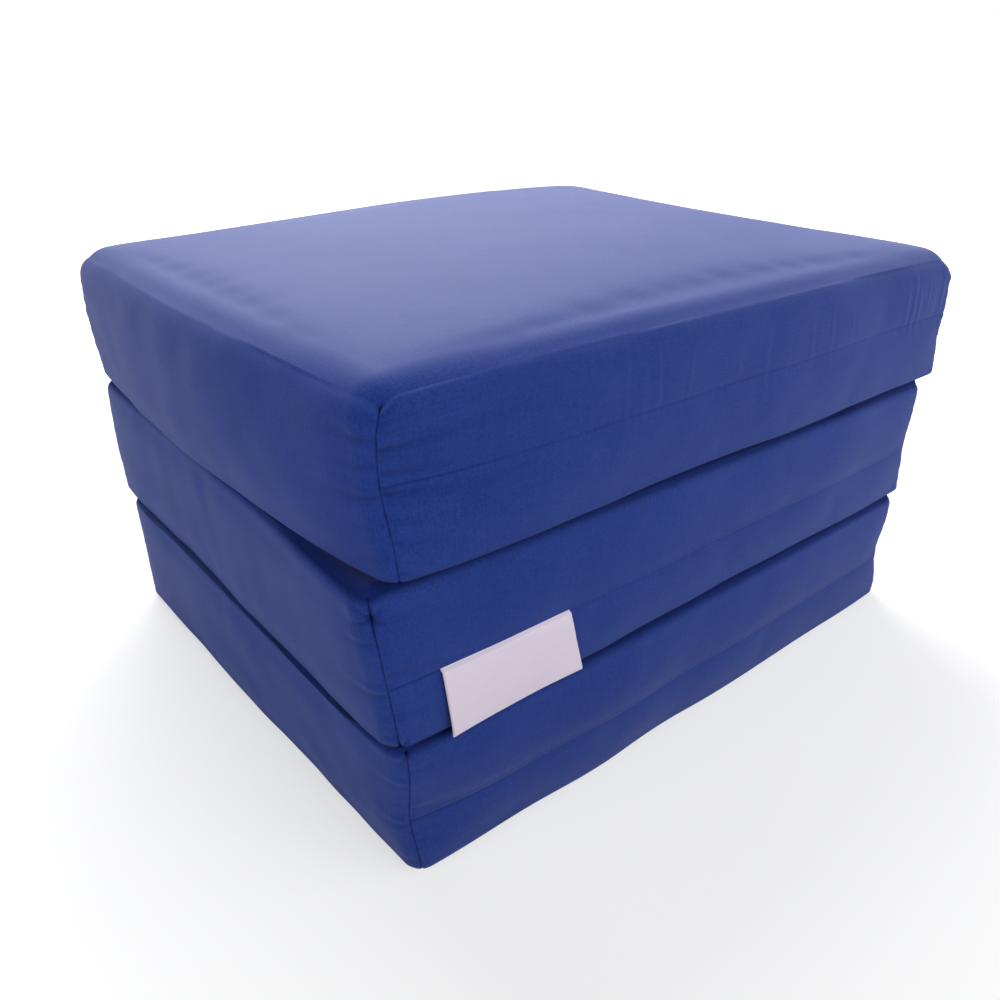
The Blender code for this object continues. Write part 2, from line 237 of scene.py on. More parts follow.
@dataclass(frozen=True)
class Waist:
    """Height at which a corner is drawn in by its seam, or swells where the depth is negative."""

    corner: tuple[int, int]
    height: float
    spread: float
    end_depth: float
    side_depth: float
    run: float = 0.045


@dataclass(frozen=True)
class Ripple:
    """A group of shallow upright folds in a side, each a little different."""

    face: Face
    centre: float
    half_span: float
    low: float
    high: float
    count: int
    lift: float


@dataclass(frozen=True)
class BoxGrid:
    """Quads over a box's surface, along lines that run all the way round it.

    Each axis has its own line places, from -1 to 1.
    """

    lines: tuple[Array, Array, Array]

    def index(self) -> Array:
        """Number of the vertex at each crossing of three lines, or -1 inside the box."""
        shell = np.zeros([len(line) for line in self.lines], bool)
        for axis in range(3):
            ends = np.moveaxis(shell, axis, 0)
            ends[[0, -1]] = True
        index = np.full(shell.shape, -1)
        index[shell] = np.arange(shell.sum())
        return index

    def unit(self) -> Array:
        """Each vertex's place on the box from -1 to 1."""
        crossings = np.argwhere(self.index() >= 0)
        return np.column_stack([self.lines[k][crossings[:, k]] for k in range(3)])

    def sheet(self, face: Face) -> Array:
        """Vertex numbers of one face, as a table along its two axes."""
        return np.moveaxis(self.index(), face.axis, 0)[-1 if face.sign > 0 else 0]

    def quads(self) -> tuple[Array, Array]:
        """The faces, pointing outwards.

        Returns:
            Vertex numbers of each quad, and the axis that each quad's side of the box closes.
        """
        quads, axes = [], []
        for face in Face:
            sheet = self.sheet(face)
            around = [sheet[:-1, :-1], sheet[1:, :-1], sheet[1:, 1:], sheet[:-1, 1:]]
            if (face.sign > 0) == (face.axis == 1):
                around.reverse()
            quad = np.stack(around, axis=-1).reshape(-1, 4)
            quads.append(quad)
            axes.append(np.full(len(quad), face.axis))
        return np.concatenate(quads), np.concatenate(axes)


def graded_line(half: float, fine: float, reach: float, coarse: float) -> Array:
    """Line places across a box, close together near both ends.

    Args:
        half: Half the box's size on this axis.
        fine: Spacing near the ends.
        reach: How far in from the ends the fine spacing goes.
        coarse: Spacing in the middle.

    Returns:
        Places from -1 to 1.
    """
    near = np.linspace(half, half - reach, max(2, round(reach / fine) + 1))
    inner = np.linspace(half - reach, 0.0, max(2, round((half - reach) / coarse) + 1))[1:]
    right = np.concatenate([near, inner])
    return np.concatenate([-right, right[-2::-1]]) / half


def with_lines(line: Array, extra: Iterable[float], closest: float) -> Array:
    """Add chosen places to a line, in place of any that lie too close to them."""
    extra = np.array(sorted(extra))
    gaps = np.abs(line[:, None] - extra[None, :]).min(axis=1)
    kept = line[(gaps > closest) | (np.abs(line) == 1.0)]
    return np.unique(np.concatenate([kept, extra]))


def spline_weights(knots: Array, places: Array) -> Array:
    """Matrix that carries values at knots to a natural cubic spline at places.

    Args:
        knots: Rising places of the known values.
        places: Where the spline is wanted.

    Returns:
        A table with a row for each place and a column for each knot.
    """
    count, steps = len(knots), np.diff(knots)
    bend, pull = np.eye(count), np.zeros((count, count))
    for k in range(1, count - 1):
        bend[k, k - 1 : k + 2] = steps[k - 1], 2.0 * (steps[k - 1] + steps[k]), steps[k]
        pull[k, k - 1] = 6.0 / steps[k - 1]
        pull[k, k] = -6.0 / steps[k - 1] - 6.0 / steps[k]
        pull[k, k + 1] = 6.0 / steps[k]
    second = np.linalg.solve(bend, pull)
    left = np.clip(np.searchsorted(knots, places, side="right") - 1, 0, count - 2)
    step = steps[left]
    b = ((places - knots[left]) / step)[:, None]
    a = 1.0 - b
    identity = np.eye(count)
    curve = (a**3 - a) * second[left] + (b**3 - b) * second[left + 1]
    return a * identity[left] + b * identity[left + 1] + curve * (step**2)[:, None] / 6.0


def carry_over(coarse: BoxGrid, fine: BoxGrid, values: Array) -> Array:
    """Move values from one grid over a box to a finer grid over the same box.

    Args:
        coarse: Grid that the values belong to.
        fine: Grid that they are wanted on.
        values: A row for each vertex of the coarse grid.

    Returns:
        A row for each vertex of the fine grid.
    """
    moved = np.zeros((len(fine.unit()), values.shape[1]))
    for face in Face:
        first, second = (axis for axis in range(3) if axis != face.axis)
        rows = spline_weights(coarse.lines[first], fine.lines[first])
        columns = spline_weights(coarse.lines[second], fine.lines[second])
        table = values[coarse.sheet(face)]
        carried = np.einsum("ai,ijk,bj->abk", rows, table, columns, optimize=True)
        moved[fine.sheet(face)] = carried
    return moved


def mesh_of(name: str, points: Array, quads: Array) -> bpy.types.Mesh:
    """A smooth-shaded mesh from arrays of points and quads."""
    mesh = bpy.data.meshes.new(name)
    mesh.from_pydata(points.tolist(), [], quads.tolist())
    mesh.shade_smooth()
    return mesh


def vertex_normals(points: Array, quads: Array) -> Array:
    """Outward direction at each vertex of a quad mesh."""
    a, b, c, d = (points[quads[:, k]] for k in range(4))
    across = np.cross(c - a, d - b)
    total = np.zeros_like(points)
    for k in range(4):
        for axis in range(3):
            total[:, axis] += np.bincount(quads[:, k], across[:, axis], len(points))
    return total / np.linalg.norm(total, axis=1, keepdims=True)


def add_object(name: str, mesh: bpy.types.ID) -> bpy.types.Object:
    """Put a mesh or curve in the scene, at the origin."""
    item = bpy.data.objects.new(name, mesh)
    bpy.context.scene.collection.objects.link(item)
    return item


def note(piece: bpy.types.Object) -> None:
    """Log a finished piece's name and size."""
    LOG.info("%s: %d faces", piece.name, len(piece.data.polygons))


@dataclass(frozen=True)
class Filling:
    """Cloth simulation that fills a cover, with its seams and contact faces held."""

    spacing: float = 0.0075
    pressure: float = 4.0
    slack: float = 0.003
    most_out: float = 0.0030
    most_in: float = 0.0010
    last_frame: int = 20
    smoothing: int = 4

    def run(self, points: Array, quads: Array, held: Array) -> Array:
        """Fill a closed form.

        Args:
            points: The form's vertices.
            quads: Its faces.
            held: 1 where the cloth is sewn down or pressed, 0 where it is free.

        Returns:
            How far each vertex moves, with small wrinkles smoothed and large moves eased off.
        """
        form = add_object("cover_form", mesh_of("cover_form", points, quads))
        sewn = form.vertex_groups.new(name="sewn")
        sewn.add(np.flatnonzero(held > 0.5).tolist(), 1.0, "REPLACE")
        cloth = form.modifiers.new("cloth", "CLOTH")
        settings = cloth.settings
        for setting, value in CLOTH_SETTINGS.items():
            setattr(settings, setting, value)
        settings.vertex_group_mass = "sewn"
        settings.uniform_pressure_force = self.pressure
        settings.shrink_min = -self.slack
        settings.effector_weights.gravity = 0.0
        cloth.collision_settings.use_collision = False
        scene = bpy.context.scene
        for span in (scene, cloth.point_cache):
            span.frame_start, span.frame_end = 1, self.last_frame
        for number in range(1, self.last_frame + 1):
            scene.frame_set(number)
        filled = form.evaluated_get(bpy.context.evaluated_depsgraph_get()).data
        moved = np.zeros(len(points) * 3)
        filled.vertices.foreach_get("co", moved)
        moved = moved.reshape(-1, 3) - points
        scene.frame_set(1)
        mesh = form.data
        bpy.data.objects.remove(form, do_unlink=True)
        bpy.data.meshes.remove(mesh)
        for _ in range(self.smoothing):
            moved = mix(moved, self.spread(moved, quads) * (1.0 - held[:, None]), 0.6)
        size = np.linalg.norm(moved, axis=1, keepdims=True)
        outward = np.sum(moved * vertex_normals(points, quads), axis=1, keepdims=True) > 0.0
        most = np.where(outward, self.most_out, self.most_in)
        return moved * np.tanh(size / most) * most / np.maximum(size, 1e-9)

    def spread(self, values: Array, quads: Array) -> Array:
        """Mean of each vertex's neighbours along the grid's lines."""
        total = np.zeros_like(values)
        count = np.zeros(len(values))
        for k in range(4):
            here, beyond = quads[:, k], quads[:, (k + 1) % 4]
            count += np.bincount(here, minlength=len(values))
            for axis in range(values.shape[1]):
                total[:, axis] += np.bincount(here, values[beyond, axis], len(values))
        return total / count[:, None]


@dataclass
class Panel:
    """One foam panel in its cover: the form of the cover and everything sewn into it."""

    level: Level
    sides: dict[Face, Side]
    lower_radius: float
    upper_radius: float
    hinge_ends: dict[Face, bool]
    crown: float = 0.0
    corner_drop: float = 0.0
    front_lift: float = 0.0
    back_lift: float = 0.0
    gathers: dict[tuple[int, int, int], tuple[Gather, ...]] = field(default_factory=dict)
    puckers: tuple[Pucker, ...] = ()
    ripples: tuple[Ripple, ...] = ()
    waists: tuple[Waist, ...] = ()
    seed: int = 1
    half_length: float = 0.300
    half_width: float = 0.246
    corner_radius: float = 0.013
    seam_turn: float = 0.24
    hinge_radius: float = 0.0045
    zip_half: float = 0.0
    thickness: float = 0.0
    base: float = 0.0
    top: float = 0.0
    seam: float = 0.0
    rear: float = 0.0
    cover: bpy.types.Object | None = None

    def __post_init__(self) -> None:
        """Take the panel's place and its zip's place from the frame."""
        word = self.level.word
        cover_low, cover_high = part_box("bottom_cover")
        self.thickness = cover_high.z - cover_low.z
        above_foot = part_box("bottom_foam_core")[0].z - cover_low.z
        self.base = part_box(f"{word}_foam_core")[0].z - above_foot
        self.top = self.base + self.thickness
        self.zip_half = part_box(f"{word}_zip_tape_upper")[1].x
        slider_low, slider_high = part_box(f"{word}_zip_slider")
        self.seam = (slider_low.z + slider_high.z) / 2.0
        self.rear = -cover_low.y

    @property
    def seam_share(self) -> float:
        """Height of the side seam, as a share of the thickness."""
        return (self.seam - self.base) / self.thickness

    @property
    def half(self) -> Array:
        """Half of each side of the plain box."""
        return np.array([self.half_length, self.half_width, self.thickness / 2.0])

    @property
    def centre(self) -> Array:
        """Middle of the plain box."""
        return np.array([0.0, 0.0, (self.base + self.top) / 2.0])

    def plain(self, unit: Array) -> Array:
        """Places on the plain box, before any rounding."""
        return self.centre + unit * self.half

    def margins(self, plain: Array) -> tuple[Array, Array]:
        """Distances from places on the plain box to its nearer end and its nearer side."""
        to_end = self.half_length - np.abs(plain[:, 0])
        to_side = self.half_width - np.abs(plain[:, 1])
        return to_end, to_side

    def rise(self, place: Array) -> Array:
        """Height above the panel's foot, as a share of its thickness."""
        return (place[:, 2] - self.base) / self.thickness

    def lying(self, unit: Array) -> Array:
        """True on the faces that lie on the floor or on another panel."""
        return (unit[:, 2] == -1.0) | ((unit[:, 2] == 1.0) & (self.crown == 0.0))

    def edge_radius(self, unit: Array) -> Array:
        """Rounding of the upper or lower edge next to each place.

        The edge that carries a hinge is sharper than the others, between its corners.
        """
        radius = np.where(unit[:, 2] > 0.0, self.upper_radius, self.lower_radius)
        to_end = self.half_length * (1.0 - np.abs(unit[:, 0]))
        to_side = self.half_width * (1.0 - np.abs(unit[:, 1]))
        by_end = smooth_step(0.012, 0.040, to_side) * smooth_step(0.060, 0.020, to_end)
        for face, at_top in self.hinge_ends.items():
            on_edge = (unit[:, 0] * face.sign > 0.0) & ((unit[:, 2] > 0.0) == at_top)
            radius = mix(radius, self.hinge_radius, by_end * on_edge)
        return radius

    def rounded(self, unit: Array) -> Array:
        """Places on the box with its edges and corners rounded."""
        radius = self.edge_radius(unit)
        half = self.half
        place = np.abs(unit) * half
        climb = np.clip((place[:, 2] - (half[2] - radius)) / radius, 0.0, 1.0)
        plan = mix(self.corner_radius, np.maximum(radius, self.corner_radius), climb)
        radii = np.column_stack([plan, plan, radius])
        inner = half - radii
        past = np.clip((place - inner) / radii, 0.0, None)
        length = np.linalg.norm(past, axis=1, keepdims=True)
        outward = past / np.where(length > 0.0, length, 1.0)
        angle = np.arctan2(outward[:, 1], outward[:, 0])
        angle += self.seam_turn * np.sin(2.0 * angle)
        flat = np.hypot(outward[:, 0], outward[:, 1])
        outward[:, 0], outward[:, 1] = flat * np.cos(angle), flat * np.sin(angle)
        rounded = np.minimum(place, inner) + outward * radii
        return self.centre + np.sign(unit) * rounded

    def zip_mask(self, place: Array) -> Array:
        """1 on the flat band that holds the zip, falling to 0 beyond it."""
        outer, inner = (self.zip_half + reach for reach in ZIP_BAND_ENDS)
        along = smooth_step(outer, inner, np.abs(place[:, 0]))
        across = smooth_step(*ZIP_BAND_EDGES, np.abs(place[:, 2] - self.seam))
        return along * across

    def form(self, unit: Array) -> Array:
        """The cover's form before the cloth is filled.

        Args:
            unit: Places on the box from -1 to 1.

        Returns:
            Places in the frame.
        """
        place = self.rounded(unit)
        along = np.clip(place[:, 0] / self.half_length, -1.0, 1.0)
        across = np.clip(place[:, 1] / self.half_width, -1.0, 1.0)
        rise = np.clip(self.rise(place), 0.0, 1.0)
        moved = place.copy()
        for face, side in self.sides.items():
            run, depth = (across, along) if face.axis == 0 else (along, across)
            reach = side.at(run, rise)
            if face is Face.REAR:
                reach = mix(reach, self.rear - self.half_width, self.zip_mask(place))
            pull = np.clip(depth * face.sign, 0.0, 1.0) ** 3
            moved[:, face.axis] += face.sign * reach * pull
        for waist in self.waists:
            side_x, side_y = waist.corner
            away = 1.0 - side_x * along, 1.0 - side_y * across
            run = self.half_length * away[0] + self.half_width * away[1]
            drawn = bell(rise - waist.height, waist.spread) * bell(run, waist.run)
            drawn *= 1.0 - self.zip_mask(place) * (side_y > 0)
            moved[:, 0] -= side_x * waist.end_depth * drawn
            moved[:, 1] -= side_y * waist.side_depth * drawn
        dome = self.crown * (1.0 - np.abs(along) ** 2.2) * (1.0 - np.abs(across) ** 2.2)
        droop = self.corner_drop * np.abs(along * across) ** 4
        right, back = (1.0 + along) / 2.0, (1.0 + across) / 2.0
        raised = mix(0.16, 1.0, smooth_step(0.0, 0.75, right))
        lift = self.front_lift + self.back_lift * raised * back**2.5
        moved[:, 2] += (dome - droop + lift) * smooth_step(0.30, 1.0, rise)
        return moved

    def held(self, unit: Array) -> Array:
        """Where the cloth is sewn down or pressed: seams, zip band, contact faces and floor."""
        place = self.plain(unit)
        to_end, to_side = self.margins(place)
        corner = np.hypot(to_end, to_side) < SEWN_REACH
        seam = (np.abs(place[:, 2] - self.seam) < SEWN_REACH) & (unit[:, 1] == -1.0)
        zipped = (self.zip_mask(place) > 0.3) & (unit[:, 1] == 1.0)
        rim = (unit[:, 2] == 1.0) & (np.minimum(to_end, to_side) < SEWN_REACH)
        return (corner | seam | zipped | rim | self.lying(unit)).astype(float)

    def coarse_grid(self, spacing: float) -> BoxGrid:
        """Even grid for the simulation, with a line along the side seam."""
        halves = (self.half_length, self.half_width, self.thickness / 2.0)
        lines = [np.linspace(-1.0, 1.0, round(2.0 * half / spacing) + 1) for half in halves]
        lines[2] = with_lines(lines[2], [2.0 * self.seam_share - 1.0], 0.45 * spacing / halves[2])
        return BoxGrid(tuple(lines))

    def fine_grid(self) -> BoxGrid:
        """Grid of the finished cover: fine at corners and seams, open in the middle."""
        ends = [s * (self.zip_half + d) for s in (-1, 1) for d in (-0.0012, 0.0, 0.0012)]
        ends += [s * (self.half_length - d) for s in (-1, 1) for d in SEAM_STEPS]
        length = graded_line(self.half_length, FINE_SPACING, FINE_BAND, 0.0046)
        length = with_lines(length, np.array(ends) / self.half_length, 0.0006 / self.half_length)
        for ripple in self.ripples:
            if ripple.face.axis == 1:
                span = np.arange(-ripple.half_span, ripple.half_span, 0.0018)
                places = (ripple.centre + span) / self.half_length
                length = with_lines(length, places, 0.001 / self.half_length)
        width = graded_line(self.half_width, FINE_SPACING, FINE_BAND, 0.0054)
        corner = [s * (1.0 - d / self.half_width) for s in (-1, 1) for d in SEAM_STEPS]
        width = with_lines(width, corner, 0.0006 / self.half_width)
        height = np.linspace(-1.0, 1.0, round(self.thickness / 0.0018) + 1)
        half = self.thickness / 2.0
        seam = 2.0 * self.seam_share - 1.0
        rows = {seam + s * d / half for s in (-1, 1) for d in FRONT_SEAM_STEPS}
        height = with_lines(height, rows, 0.0007 / half)
        return BoxGrid((length, width, height))

    def free_share(self, unit: Array) -> Array:
        """0 on faces that lie on the floor or on another panel, 1 on the sides."""
        to_rim = np.minimum(*self.margins(self.plain(unit)))
        return np.where(self.lying(unit), smooth_step(0.030, 0.006, to_rim), 1.0)

    def seam_relief(self, unit: Array) -> tuple[Array, Array]:
        """Sewn lines: the four corner seams with their notches, and the front seam.

        Args:
            unit: Places on the box from -1 to 1.

        Returns:
            How far each place stands out, and how much painted shade it gets, from 0 to 1.
        """
        plain = self.plain(unit)
        to_end, to_side = self.margins(plain)
        off_corner = np.hypot(to_end, to_side)
        rise = self.rise(plain)
        body = smooth_step(-0.02, 0.05, rise) * smooth_step(1.02, 0.96, rise)
        # How strongly the painted seam shade shows, varying up the seam.
        patchy_shade = 0.72 + 0.9 * np.sin(9.0 * rise + self.seed) * np.sin(23.0 * rise)
        patchy_shade = np.clip(patchy_shade, 0.35, 1.0)
        line = bell(off_corner, 0.0008) * body
        shoulder = bell(off_corner - 0.0036, 0.0022) * body
        notch = bell(off_corner, 0.0045) * smooth_step(0.93, 0.99, rise)
        relief = SHOULDER_LIFT * shoulder - SEAM_DEPTH * line - NOTCH_DEPTH * notch
        # Painted shade along the corner seams and in their notches.
        fold = 0.40 * patchy_shade * line
        fold += 0.4 * bell(off_corner, 0.0026) * smooth_step(0.94, 0.99, rise)
        rng = np.random.default_rng(self.seed + 100)
        wander = np.zeros(len(unit))
        for wavelength in SEAM_WAVELENGTHS:
            phase = rng.uniform(0.0, 2.0 * math.pi)
            turns = rise + 0.9 * np.sign(plain[:, 0]) + 0.4 * np.sign(plain[:, 1])
            wander += np.sin(2.0 * math.pi * turns / wavelength + phase) * wavelength**0.5
        relief += 0.0003 * wander * bell(off_corner, 0.010) * body
        front = unit[:, 1] == -1.0
        drop = plain[:, 2] - self.seam
        strength = 0.35 + 0.65 * bell(plain[:, 0] + self.half_length, 0.07)
        strength *= smooth_step(0.0, 0.004, to_end)
        relief -= front * strength * FRONT_SEAM_DEPTH * bell(drop, 0.0009)
        relief += front * strength * 0.0002 * bell(drop - 0.0030, 0.0022)
        # Painted shade along the front seam.
        fold += front * strength * 0.45 * bell(drop, 0.0007)
        return relief, fold

    def rim_shade(self, unit: Array) -> Array:
        """How much painted shade each place gets where two stacked panels meet, from 0 to 1."""
        plain = self.plain(unit)
        near = smooth_step(0.014, 0.004, np.minimum(*self.margins(plain)))
        shade = np.zeros(len(unit))
        if self.level is not Level.BOTTOM:
            shade += smooth_step(*LOWER_RIM_SHADE, plain[:, 2] - self.base)
        if self.crown == 0.0:
            shade += 0.6 * smooth_step(*UPPER_RIM_SHADE, self.top - plain[:, 2])
        return near * np.minimum(shade, 1.0)

    def gather_relief(self, unit: Array) -> tuple[Array, Array]:
        """Short folds that run out from the corner seams along the sides.

        Args:
            unit: Places on the box from -1 to 1.

        Returns:
            How far each place stands out, and how much painted shade it gets, from 0 to 1.
        """
        plain = self.plain(unit)
        relief = np.zeros(len(unit))
        fold = np.zeros(len(unit))
        for (side_x, side_y, axis), gathers in self.gathers.items():
            here = (unit[:, axis] == (side_x, side_y)[axis]) & (plain[:, 0] * side_x > 0.0)
            here &= plain[:, 1] * side_y > 0.0
            spots = np.flatnonzero(here)
            run = (self.half_length, self.half_width)[1 - axis] - np.abs(plain[spots, 1 - axis])
            for gather in gathers:
                centre = self.base + gather.height * self.thickness + gather.slope * run
                width = gather.width * (1.0 + 0.7 * run / gather.length)
                away = plain[spots, 2] - centre
                fade = smooth_step(0.0004, 0.0040, run) * np.exp(-run / gather.length)
                foot = bell(away + 1.6 * width, width)
                ridge = bell(away, width) - 0.75 * foot
                relief[spots] += GATHER_RELIEF * gather.lift * ridge * fade
                # Painted shade at the gather's foot.
                fold[spots] += GATHER_SHADE * gather.lift * foot * fade
        return relief, fold

    def pucker_relief(self, unit: Array) -> tuple[Array, Array]:
        """Stars of small folds where seams meet at a corner.

        Args:
            unit: Places on the box from -1 to 1.

        Returns:
            How far each place stands out, and how much painted shade it gets, from 0 to 1.
        """
        plain = self.plain(unit)
        to_end, to_side = self.margins(plain)
        relief = np.zeros(len(unit))
        fold = np.zeros(len(unit))
        for pucker in self.puckers:
            side_x, side_y = pucker.corner
            here = (plain[:, 0] * side_x > 0.0) & (plain[:, 1] * side_y > 0.0)
            run = np.where(np.abs(unit[:, 1]) == 1.0, to_end, -to_side)
            climb = plain[:, 2] - (self.base + pucker.height * self.thickness)
            off = np.hypot(np.hypot(to_end, to_side), climb)
            turn = np.arctan2(climb, run)
            star = np.cos(pucker.folds * turn + 0.6)
            ring = bell(off - 0.55 * pucker.radius, 0.55 * pucker.radius)
            pit = bell(off, 0.30 * pucker.radius)
            relief += here * pucker.depth * (0.30 * star * ring - pit)
            # Painted shade in the pucker's pit and between its folds.
            fold += here * (0.8 * pit + 0.25 * np.clip(-star, 0.0, 1.0) * ring)
        return relief, fold

    def ripple_relief(self, unit: Array) -> Array:
        """Shallow upright folds, and the slow unevenness of stuffed cloth."""
        plain = self.plain(unit)
        relief = np.zeros(len(unit))
        rise = self.rise(plain)
        rng = np.random.default_rng(self.seed)
        for ripple in self.ripples:
            here = unit[:, ripple.face.axis] == ripple.face.sign
            along = plain[:, 1 - ripple.face.axis] - ripple.centre
            for place in np.linspace(-0.8, 0.8, ripple.count):
                place = ripple.half_span * (place + rng.uniform(-0.9, 0.9) / ripple.count)
                lean = rng.uniform(-0.010, 0.010)
                foot = mix(ripple.low, ripple.high, rng.uniform(0.0, 0.35))
                head = mix(ripple.low, ripple.high, rng.uniform(0.65, 1.0))
                away = along - place - lean * (rise - ripple.low)
                window = smooth_step(foot - 0.10, foot + 0.10, rise)
                window *= smooth_step(head + 0.08, head - 0.12, rise)
                width = rng.uniform(0.0017, 0.0030)
                fold = bell(away, width) - 0.6 * bell(away - 1.7 * width, width)
                relief += here * window * ripple.lift * rng.uniform(0.4, 1.0) * fold
        calm = np.where(unit[:, 2] == 1.0, 0.20, 1.0)
        for wavelength in UNEVEN_WAVELENGTHS:
            for _ in range(3):
                heading = rng.normal(size=3)
                heading *= 2.0 * math.pi / (wavelength * np.linalg.norm(heading))
                phase = rng.uniform(0.0, 2.0 * math.pi)
                relief += calm * UNEVEN_SHARE * wavelength * np.sin(plain @ heading + phase)
        return relief * (1.0 - self.zip_mask(plain) * (unit[:, 1] == 1.0))

    def zip_groove(self, unit: Array) -> tuple[Array, Array]:
        """The slot in the rear side that holds the zip, with its turned and stitched lips.

        Args:
            unit: Places on the box from -1 to 1.

        Returns:
            How far each place stands out, and how much painted shade it gets in the slot, from 0 to
            1.
        """
        plain = self.plain(unit)
        off = np.abs(plain[:, 2] - self.seam)
        inside = smooth_step(self.zip_half + 0.0012, self.zip_half - 0.0012, np.abs(plain[:, 0]))
        rear = (unit[:, 1] == 1.0) * inside
        slot = smooth_step(0.0047, 0.0038, off)
        lip = bell(off - 0.0062, 0.0016)
        stitched = bell(off - STITCH_OFFSET, 0.0009)
        relief = rear * (0.0004 * lip - GROOVE_DEPTH * slot - 0.0003 * stitched)
        # The second value is painted shade in the slot.
        return relief, rear * slot

    def make_cover(self, filling: Filling, finish: bpy.types.Material) -> bpy.types.Object:
        """Build the cover's mesh, dress it and tie it to its body.

        Args:
            filling: The cloth simulation.
            finish: The cover's material.

        Returns:
            The finished cover.
        """
        fine = self.fine_grid()
        unit = fine.unit()
        quads, axes = fine.quads()
        points = self.form(unit)
        coarse = self.coarse_grid(filling.spacing)
        rough_unit = coarse.unit()
        rough_quads, _ = coarse.quads()
        moved = filling.run(self.form(rough_unit), rough_quads, self.held(rough_unit))
        points += carry_over(coarse, fine, moved)
        relief, fold = self.seam_relief(unit)
        # Add the gathers' and puckers' relief, and their painted shade.
        for more, more_shade in (self.gather_relief(unit), self.pucker_relief(unit)):
            relief += more
            fold += more_shade
        relief += self.ripple_relief(unit)
        relief *= self.free_share(unit)
        # Painted shade where the panels meet.
        fold = np.maximum(fold, self.rim_shade(unit))
        # The zip slot's relief, and its painted shade.
        groove, slot_shade = self.zip_groove(unit)
        points += vertex_normals(points, quads) * relief[:, None]
        points[:, 1] += groove
        ceiling = self.top if self.crown == 0.0 else math.inf
        points[:, 2] = np.clip(points[:, 2], self.base, ceiling)
        name = f"{self.level.word}_padded_cover"
        mesh = mesh_of(name, points, quads)
        plain = self.plain(unit)
        shown = [(1, 2), (0, 2), (0, 1)]
        layout = np.empty((len(quads), 4, 2))
        for axis, pair in enumerate(shown):
            layout[axes == axis] = plain[quads[axes == axis]][:, :, pair]
        mesh.uv_layers.new(name="cloth").data.foreach_set("uv", layout.ravel())
        # The fold attribute carries all the painted shade to the cover's material.
        depth = mesh.attributes.new("fold", "FLOAT", "POINT")
        depth.data.foreach_set("value", np.clip(fold + slot_shade, 0.0, 1.0))
        mesh.materials.append(finish)
        self.cover = add_object(name, mesh)
        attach(self.cover, f"{self.level.word}_panel")
        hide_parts(f"{self.level.word}_cover")
        note(self.cover)
        return self.cover

    def make_foam(self, finish: bpy.types.Material) -> bpy.types.Object:
        """Build the foam block inside the cover, clear of its seams and its zip."""
        grid = self.coarse_grid(FOAM_SPACING)
        unit = grid.unit()
        quads, _ = grid.quads()
        form = self.form(unit)
        inset = FOAM_INSET + ZIP_INSET * self.zip_mask(form) * (unit[:, 1] == 1.0)
        points = form - vertex_normals(form, quads) * inset[:, None]
        name = f"{self.level.word}_foam"
        mesh = mesh_of(name, points, quads)
        mesh.materials.append(finish)
        foam = add_object(name, mesh)
        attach(foam, f"{self.level.word}_panel")
        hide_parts(f"{self.level.word}_foam_core")
        note(foam)
        return foam

    def surface_probe(self) -> Probe:
        """A function that finds where a ray meets the finished cover."""
        mesh = self.cover.data
        points = [vertex.co for vertex in mesh.vertices]
        tree = BVHTree.FromPolygons(points, [tuple(face.vertices) for face in mesh.polygons])

        def meet(origin: Vector, direction: Vector) -> Vector:
            """Where the ray meets the cover, or its origin if it misses."""
            found = tree.ray_cast(origin, direction)[0]
            return found if found is not None else origin

        return meet


# Nodes for materials, for the world and for repeated pieces


class Term:
    """A node's output that Python's operators act on, each adding a Math node."""

    def __init__(self, tree: "Tree", socket: bpy.types.NodeSocket) -> None:
        """Wrap an output socket of a tree."""
        self.tree = tree
        self.socket = socket

    def math(self, operation: str, *others: "Term | float") -> "Term":
        """A Math node on this value and others."""
        return self.tree.arithmetic(operation, self, *others)

    def __add__(self, other: "Term | float") -> "Term":
        """Sum."""
        return self.math("ADD", other)

    __radd__ = __add__

    def __sub__(self, other: "Term | float") -> "Term":
        """Difference."""
        return self.math("SUBTRACT", other)

    def __rsub__(self, other: float) -> "Term":
        """Difference from a plain number."""
        return self.tree.arithmetic("SUBTRACT", other, self)

    def __mul__(self, other: "Term | float") -> "Term":
        """Product."""
        return self.math("MULTIPLY", other)

    __rmul__ = __mul__

    def sine(self) -> "Term":
        """Sine of an angle in radians."""
        return self.math("SINE")

    def size(self) -> "Term":
        """Value without its sign."""
        return self.math("ABSOLUTE")

    def clamped(self, low: float, high: float) -> "Term":
        """Value kept between two numbers."""
        return self.math("MAXIMUM", low).math("MINIMUM", high)


